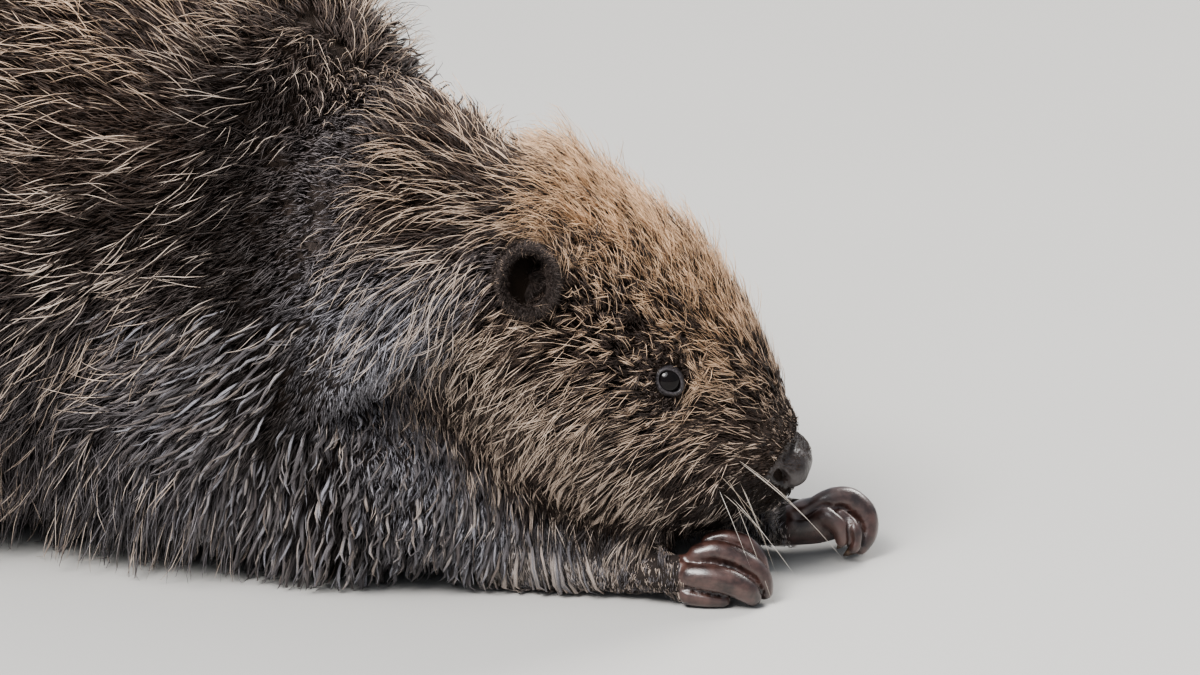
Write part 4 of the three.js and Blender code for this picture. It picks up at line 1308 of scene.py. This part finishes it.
# The grey sheen locks lie between the dark ones as painted sky sheen on wet hair over grey underfur. The pale
# grey of the elbow locks is partly painted sheen too.
DARK_LOCK, GREY_SHEEN_LOCK = (0.12, 0.05, 0.30), (0.05, 0.30, 0.95)
wet_locks("chest_locks_grey_sheen", chest, 0.0066, 0.0006, 1.2, 1.0, seeds=(0.3, 1.0), tint=GREY_SHEEN_LOCK)
wet_locks("chest_locks_broad", chest, 0.0098, 0.0009, 1.5, 1.15, tint=DARK_LOCK)
wet_locks("chest_locks_thin", chest, 0.0080, 0.00055, 1.6, 1.35, seeds=(0.0, 1.0), wave=0.003, tint=DARK_LOCK)
wet_locks("jaw_locks", jaw, 0.0070, 0.0008, 1.3, 1.3, seeds=(0.3, 0.9), wave=0.0015, slot="head_fur")
wet_locks("elbow_locks", elbow, 0.0066, 0.0009, 2.4, 1.6, seeds=(0.3, 1.0), tint=(0.1, 0.45, 0.6))
print("coat:", sum(coat_triangles), "triangles", clock())

# %% [markdown]
# ## Ear hair
# The ears are short-haired inside and out, and the hairs fan out from the middle and past the rim. Those in the
# middle of the cup are darkened as painted shade.


# %% Hair on the ears
def ear_hair(side, per_cm2):
    opening, front, _ = ear_axes(side)
    near = (distance_to(middle, EARS[side]) < 0.022) & of_kind(ear_skin)
    spots, faces = scatter(near * 1.0, 0.01 / math.sqrt(per_cm2) * 1.15)
    n, up = len(spots), unit(normals[triangles[faces]].mean(1))
    out = spots - np.array(EARS[side])
    out -= np.sum(out * opening, 1)[:, None] * opening
    ahead, radius, out = np.sum(out * front, 1) / 0.010, np.linalg.norm(out, axis=1), unit(out)
    way = out * 0.75 + opening * 0.65
    way = way - up * np.sum(way * up, 1)[:, None] + rng.normal(0, 0.16, (n, 3))
    long = rng.uniform(0.0024, 0.0046, n) * (1 + 0.5 * np.clip(ahead, 0, 1))
    long *= np.where(np.sum(up * out, 1) < 0, 1.2, 1.0)  # longer inside the cup
    s = np.array([0, 0.45, 1.0])[None, :, None]
    path = spots[:, None] - up[:, None] * 0.0003 + unit(way)[:, None] * (long[:, None, None] * s)
    path += up[:, None] * 0.0009 * np.sin(s * 1.6)
    rim = np.maximum(ramp(radius, 0.0040, 0.0130), 0.8 * np.clip(ahead * 1.3, 0, 1))
    # Brown hairs close to one another in tone, darkened to near black in the middle of the cup as painted
    # shade, and a few pale tips on the rim.
    seeds = (0.02 + (0.22 + 0.72 * rim) * rng.uniform(0.5, 1, n)) / 17
    pale_tip = rng.random(n) < 0.07 * rim * ramp(radius, 0.008, 0.012)
    seeds = np.where(pale_tip, 1 - rng.random(n) * 0.02, seeds)
    colours = np.stack([np.full(n, 0.4), np.full(n, 0.12), 0.10 * rim], 1)
    widths = rng.uniform(0.00006, 0.00011, (n, 1)) * (420 / per_cm2) ** 0.5 * 1.4
    in_pieces(f"{side}_ear_hair", "head_fur", hair_material, HAIR, path, np.repeat(up[:, None], 3, 1), widths,
              seeds, colours, spots)


ear_hair("right", 900)
ear_hair("left", 300)

# %% [markdown]
# ## Eyes, claws and whiskers
# The eyeballs are separate glossy balls behind the lids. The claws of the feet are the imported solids, rounded
# by subdivision. Those of the hands carry on from the last ball of each finger, tucked in under the fist.
# Whiskers are long tapering hairs that sweep down and forward from the sides of the muzzle.

# %% Eyeballs
EYE_RADIUS = 0.0062
for side in SIDES:
    bm = bmesh.new()
    bmesh.ops.create_uvsphere(bm, u_segments=40, v_segments=24, radius=EYE_RADIUS)
    bmesh.ops.translate(bm, verts=bm.verts, vec=EYES[side])
    finished(from_bmesh(f"{side}_eyeball", bm, eye_shine), "eye", f"{side}_eye")
print("two eyeballs of", EYE_RADIUS * 2000, "mm")


# %% Claws
def curved_claw(bm, line):
    """A tapering tube through (x, y, z, radius) in millimetres, closed at both ends."""
    rings = []
    for k, (x, y, z, r) in enumerate(line):
        way = Vector(line[min(k + 1, len(line) - 1), :3] - line[max(k - 1, 0), :3]).normalized()
        turn = way.to_track_quat("Z", "Y").to_matrix().to_4x4()
        made = bmesh.ops.create_circle(bm, segments=8, radius=r / 1000,
                                       matrix=Matrix.Translation(Vector((x, y, z)) / 1000) @ turn)
        rings.append(list({e for v in made["verts"] for e in v.link_edges}))
    for first, second in zip(rings, rings[1:]):
        bmesh.ops.bridge_loops(bm, edges=first + second)
    for end in (rings[0], rings[-1]):
        bmesh.ops.contextual_create(bm, geom=end)
    bmesh.ops.recalc_face_normals(bm, faces=bm.faces)


def finger_claws(side):
    bm = bmesh.new()
    for row in PALM_AND_FINGERS[side][1:]:
        before, (a, b, c, r) = np.array(row[-2][:3]), row[-1]
        way = np.array([a, b, c]) - before
        way = way / np.linalg.norm(way) * 2.6 + np.array([-2.2, 0.8, -0.4])
        curved_claw(bm, turned_row([
            (a, b, c, r * 0.55), (a + way[0], b + way[1], max(c + way[2], 2.2), r * 0.40),
            (a + 2.2 * way[0], b + 2.2 * way[1], max(c + 1.6 * way[2], 1.2), 0.3)]))
    return bm


DIGITS = {"hand": ("index", "middle", "ring", "little", "thumb"),
          "foot": ("first_toe", "second_toe", "third_toe", "fourth_toe", "fifth_toe")}
for side in SIDES:
    for limb, digits in DIGITS.items():
        nodes = [f"{side}_{digit}_claw" for digit in digits]
        bm = finger_claws(side) if limb == "hand" else solids_of(nodes, 0)
        claws = from_bmesh(f"{side}_{limb}_claws", bm, claw_horn)
        claws.modifiers.new("rounded", "SUBSURF").levels = 2
        with_modifiers(claws).data.shade_smooth()
        finished(claws, "claw", *nodes)
print("claws on four feet")


# %% Whiskers
WHISKER_ROWS, WHISKERS_IN_ROW = 3, 4


def whiskers(side):
    outward = LEFT * SIDES[side]
    paths, seeds = [], []
    t = np.linspace(0, 1, 7)[:, None]
    for row in range(WHISKER_ROWS):
        for k in range(WHISKERS_IN_ROW):
            back, up = 19 + 4.6 * k + rng.uniform(-2, 2), -14 - 6.0 * row + rng.uniform(-2, 2)
            root = skin_tree.ray_cast(on_head(back, SIDES[side] * 60, up), Vector(-outward))[0]
            if root is None:
                continue
            long = rng.uniform(0.024, 0.052) * (1 - 0.05 * k)
            way = unit(outward * rng.uniform(0.25, 0.7) + FORWARD - UP * rng.uniform(-0.25, 0.5))
            droop = DOWN * rng.uniform(0.15, 0.4)
            paths.append(np.array(root) - outward * 0.001 + way * long * t + droop * long * t**2 * 0.5)
            seeds.append(rng.random())
    paths = above_floor(np.array(paths), 0.0009)
    ups = np.broadcast_to(-DOWN, paths.shape)
    widths = np.array([[0.00014, 0.00013, 0.00010, 0.00008, 0.00005]]).repeat(len(paths), 0)
    coat_piece(f"{side}_whiskers", "head_fur", whisker_horn, WHISKER, paths, ups, widths, np.array(seeds),
               np.full((len(paths), 3), 0.5), paths[:, 0])


for side in SIDES:
    whiskers(side)

# %% [markdown]
# ## Tail scales
# A beaver's paddle is covered with flat, roughly six-sided scales in staggered rows. Each is a low plate
# with sloping sides, set on the skin above and below, slightly higher at its back edge.

# %% Where the scales sit
PITCH_X, PITCH_Y, PADDLE_FRONT = 0.0064, 0.0056, -0.215
on_tail, spots, tops = of_kind(tail_skin), [], []
for i in range(44):
    for j in range(-13, 14):
        px = PADDLE_FRONT - i * PITCH_X * 0.9 + rng.uniform(-0.0004, 0.0004)
        py = (j + 0.5 * (i % 2)) * PITCH_Y + rng.uniform(-0.0003, 0.0003)
        for height, way in ((0.09, -1), (-0.02, 1)):
            spot, normal, face, _ = skin_tree.ray_cast(Vector((px, py, height)), Vector((0, 0, way)))
            if spot and on_tail[face] and abs(normal.z) > 0.5:
                spots.append(spot)
                tops.append(normal)
spots, up = np.array(spots), unit(np.array(tops))
print(len(spots), "places for scales")

# %% Scales as six-sided plates
count = len(spots)
backward = unit(BACK - up * (up @ BACK)[:, None])
sideways = np.cross(up, backward)
a = np.radians(np.arange(6) * 60 + 30)
size = rng.uniform(0.92, 1.05, count)[:, None, None]
rings = []
for reach, height in ((0.56, -0.0002), (0.50, 0.00035), (0.36, 0.00055)):
    flat = backward[:, None] * (np.cos(a) * PITCH_X * reach)[None, :, None] * size
    flat = flat + sideways[:, None] * (np.sin(a) * PITCH_Y * 1.12 * reach)[None, :, None] * size
    tilt = height + np.cos(a) * (0.00025 if height > 0 else 0)
    rings.append(spots[:, None] + flat + up[:, None] * tilt[None, :, None])
verts = above_floor(np.concatenate(rings, 1), 0.0001)
j = np.arange(6)
walls = [np.stack([k + j, k + (j + 1) % 6, k + 6 + (j + 1) % 6, k + 6 + j], 1) for k in (0, 6)]
base = np.arange(count)[:, None, None] * 18
plates = [(faces[None] + base).reshape(-1, faces.shape[1])
          for faces in (np.concatenate(walls), 12 + j[None], 5 - j[None])]
mesh = mesh_from("tail_scales", verts.reshape(-1, 3), plates, smooth=False)
strand = np.zeros((count, 18, 3), np.float32)
strand[..., 0] = np.repeat([0.0, 0.5, 1.0], 6)[None]
strand[..., 2] = rng.random(count)[:, None]
set_vectors(mesh, "strand", strand)
# On the bake map the scales above fill one half and those below the other.
flat_x, flat_y = (spots[:, 0] + 0.48) / 0.28 * 0.98, (spots[:, 1] + 0.08) / 0.33
flat = np.stack([flat_x, flat_y + np.where(up[:, 2] > 0, 0, 0.5)], 1)
bake_map(mesh, flat[:, None] + (np.tile(np.stack([np.cos(a), np.sin(a)], 1), (3, 1)) * 0.0015 + 0.0015))
finished(new_object("tail_scales", mesh, scale_skin), "tail_skin")
print(count, "scales,", count * 32, "triangles")

# %% [markdown]
# ## Floor and light
# A plain pale floor, a large soft key light from the upper left, a light from behind for the bright edge of
# the fur, a small one that puts a spark in the eye, and a pale sky.

# %% Floor
bm = bmesh.new()
bmesh.ops.create_grid(bm, x_segments=2, y_segments=2, size=9)
from_bmesh("floor", bm, pale_floor)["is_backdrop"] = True
print("a floor 18 m wide")

# %% Lights
for name, place, size, power, colour in (
        ("key", (-0.15, -1.95, 2.4), 1.2, 80, (1.0, 0.97, 0.94)),
        ("behind", (0.9, 2.0, 2.0), 1.2, 62, (1.0, 0.97, 0.93)),
        ("catch light for the eye", (0.186, -0.953, 1.37), 1.3, 22, (1.0, 1.0, 1.0))):
    lamp = bpy.data.lights.new(name, "AREA")
    lamp.shape, lamp.size, lamp.energy, lamp.color = "DISK", size, power, colour
    light = bpy.data.objects.new(name, lamp)
    light.location = place
    light.rotation_euler = (Vector((0.15, 0, 0.1)) - Vector(place)).to_track_quat("-Z", "Y").to_euler()
    scene.collection.objects.link(light)
scene.world = bpy.data.worlds.new("studio")
scene.world.use_nodes = True
sky = scene.world.node_tree.nodes["Background"].inputs
sky["Color"].default_value, sky["Strength"].default_value = (0.78, 0.84, 0.92, 1), 0.55
scene.view_settings.view_transform = "AgX"
scene.view_settings.look = "AgX - Medium High Contrast"
print("three soft lights and a pale sky")

# %% The sizes, at the end
boxes = {"cad": cad_box, "visual": [list(corner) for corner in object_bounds()]}
print("visual box", boxes["visual"], clock())
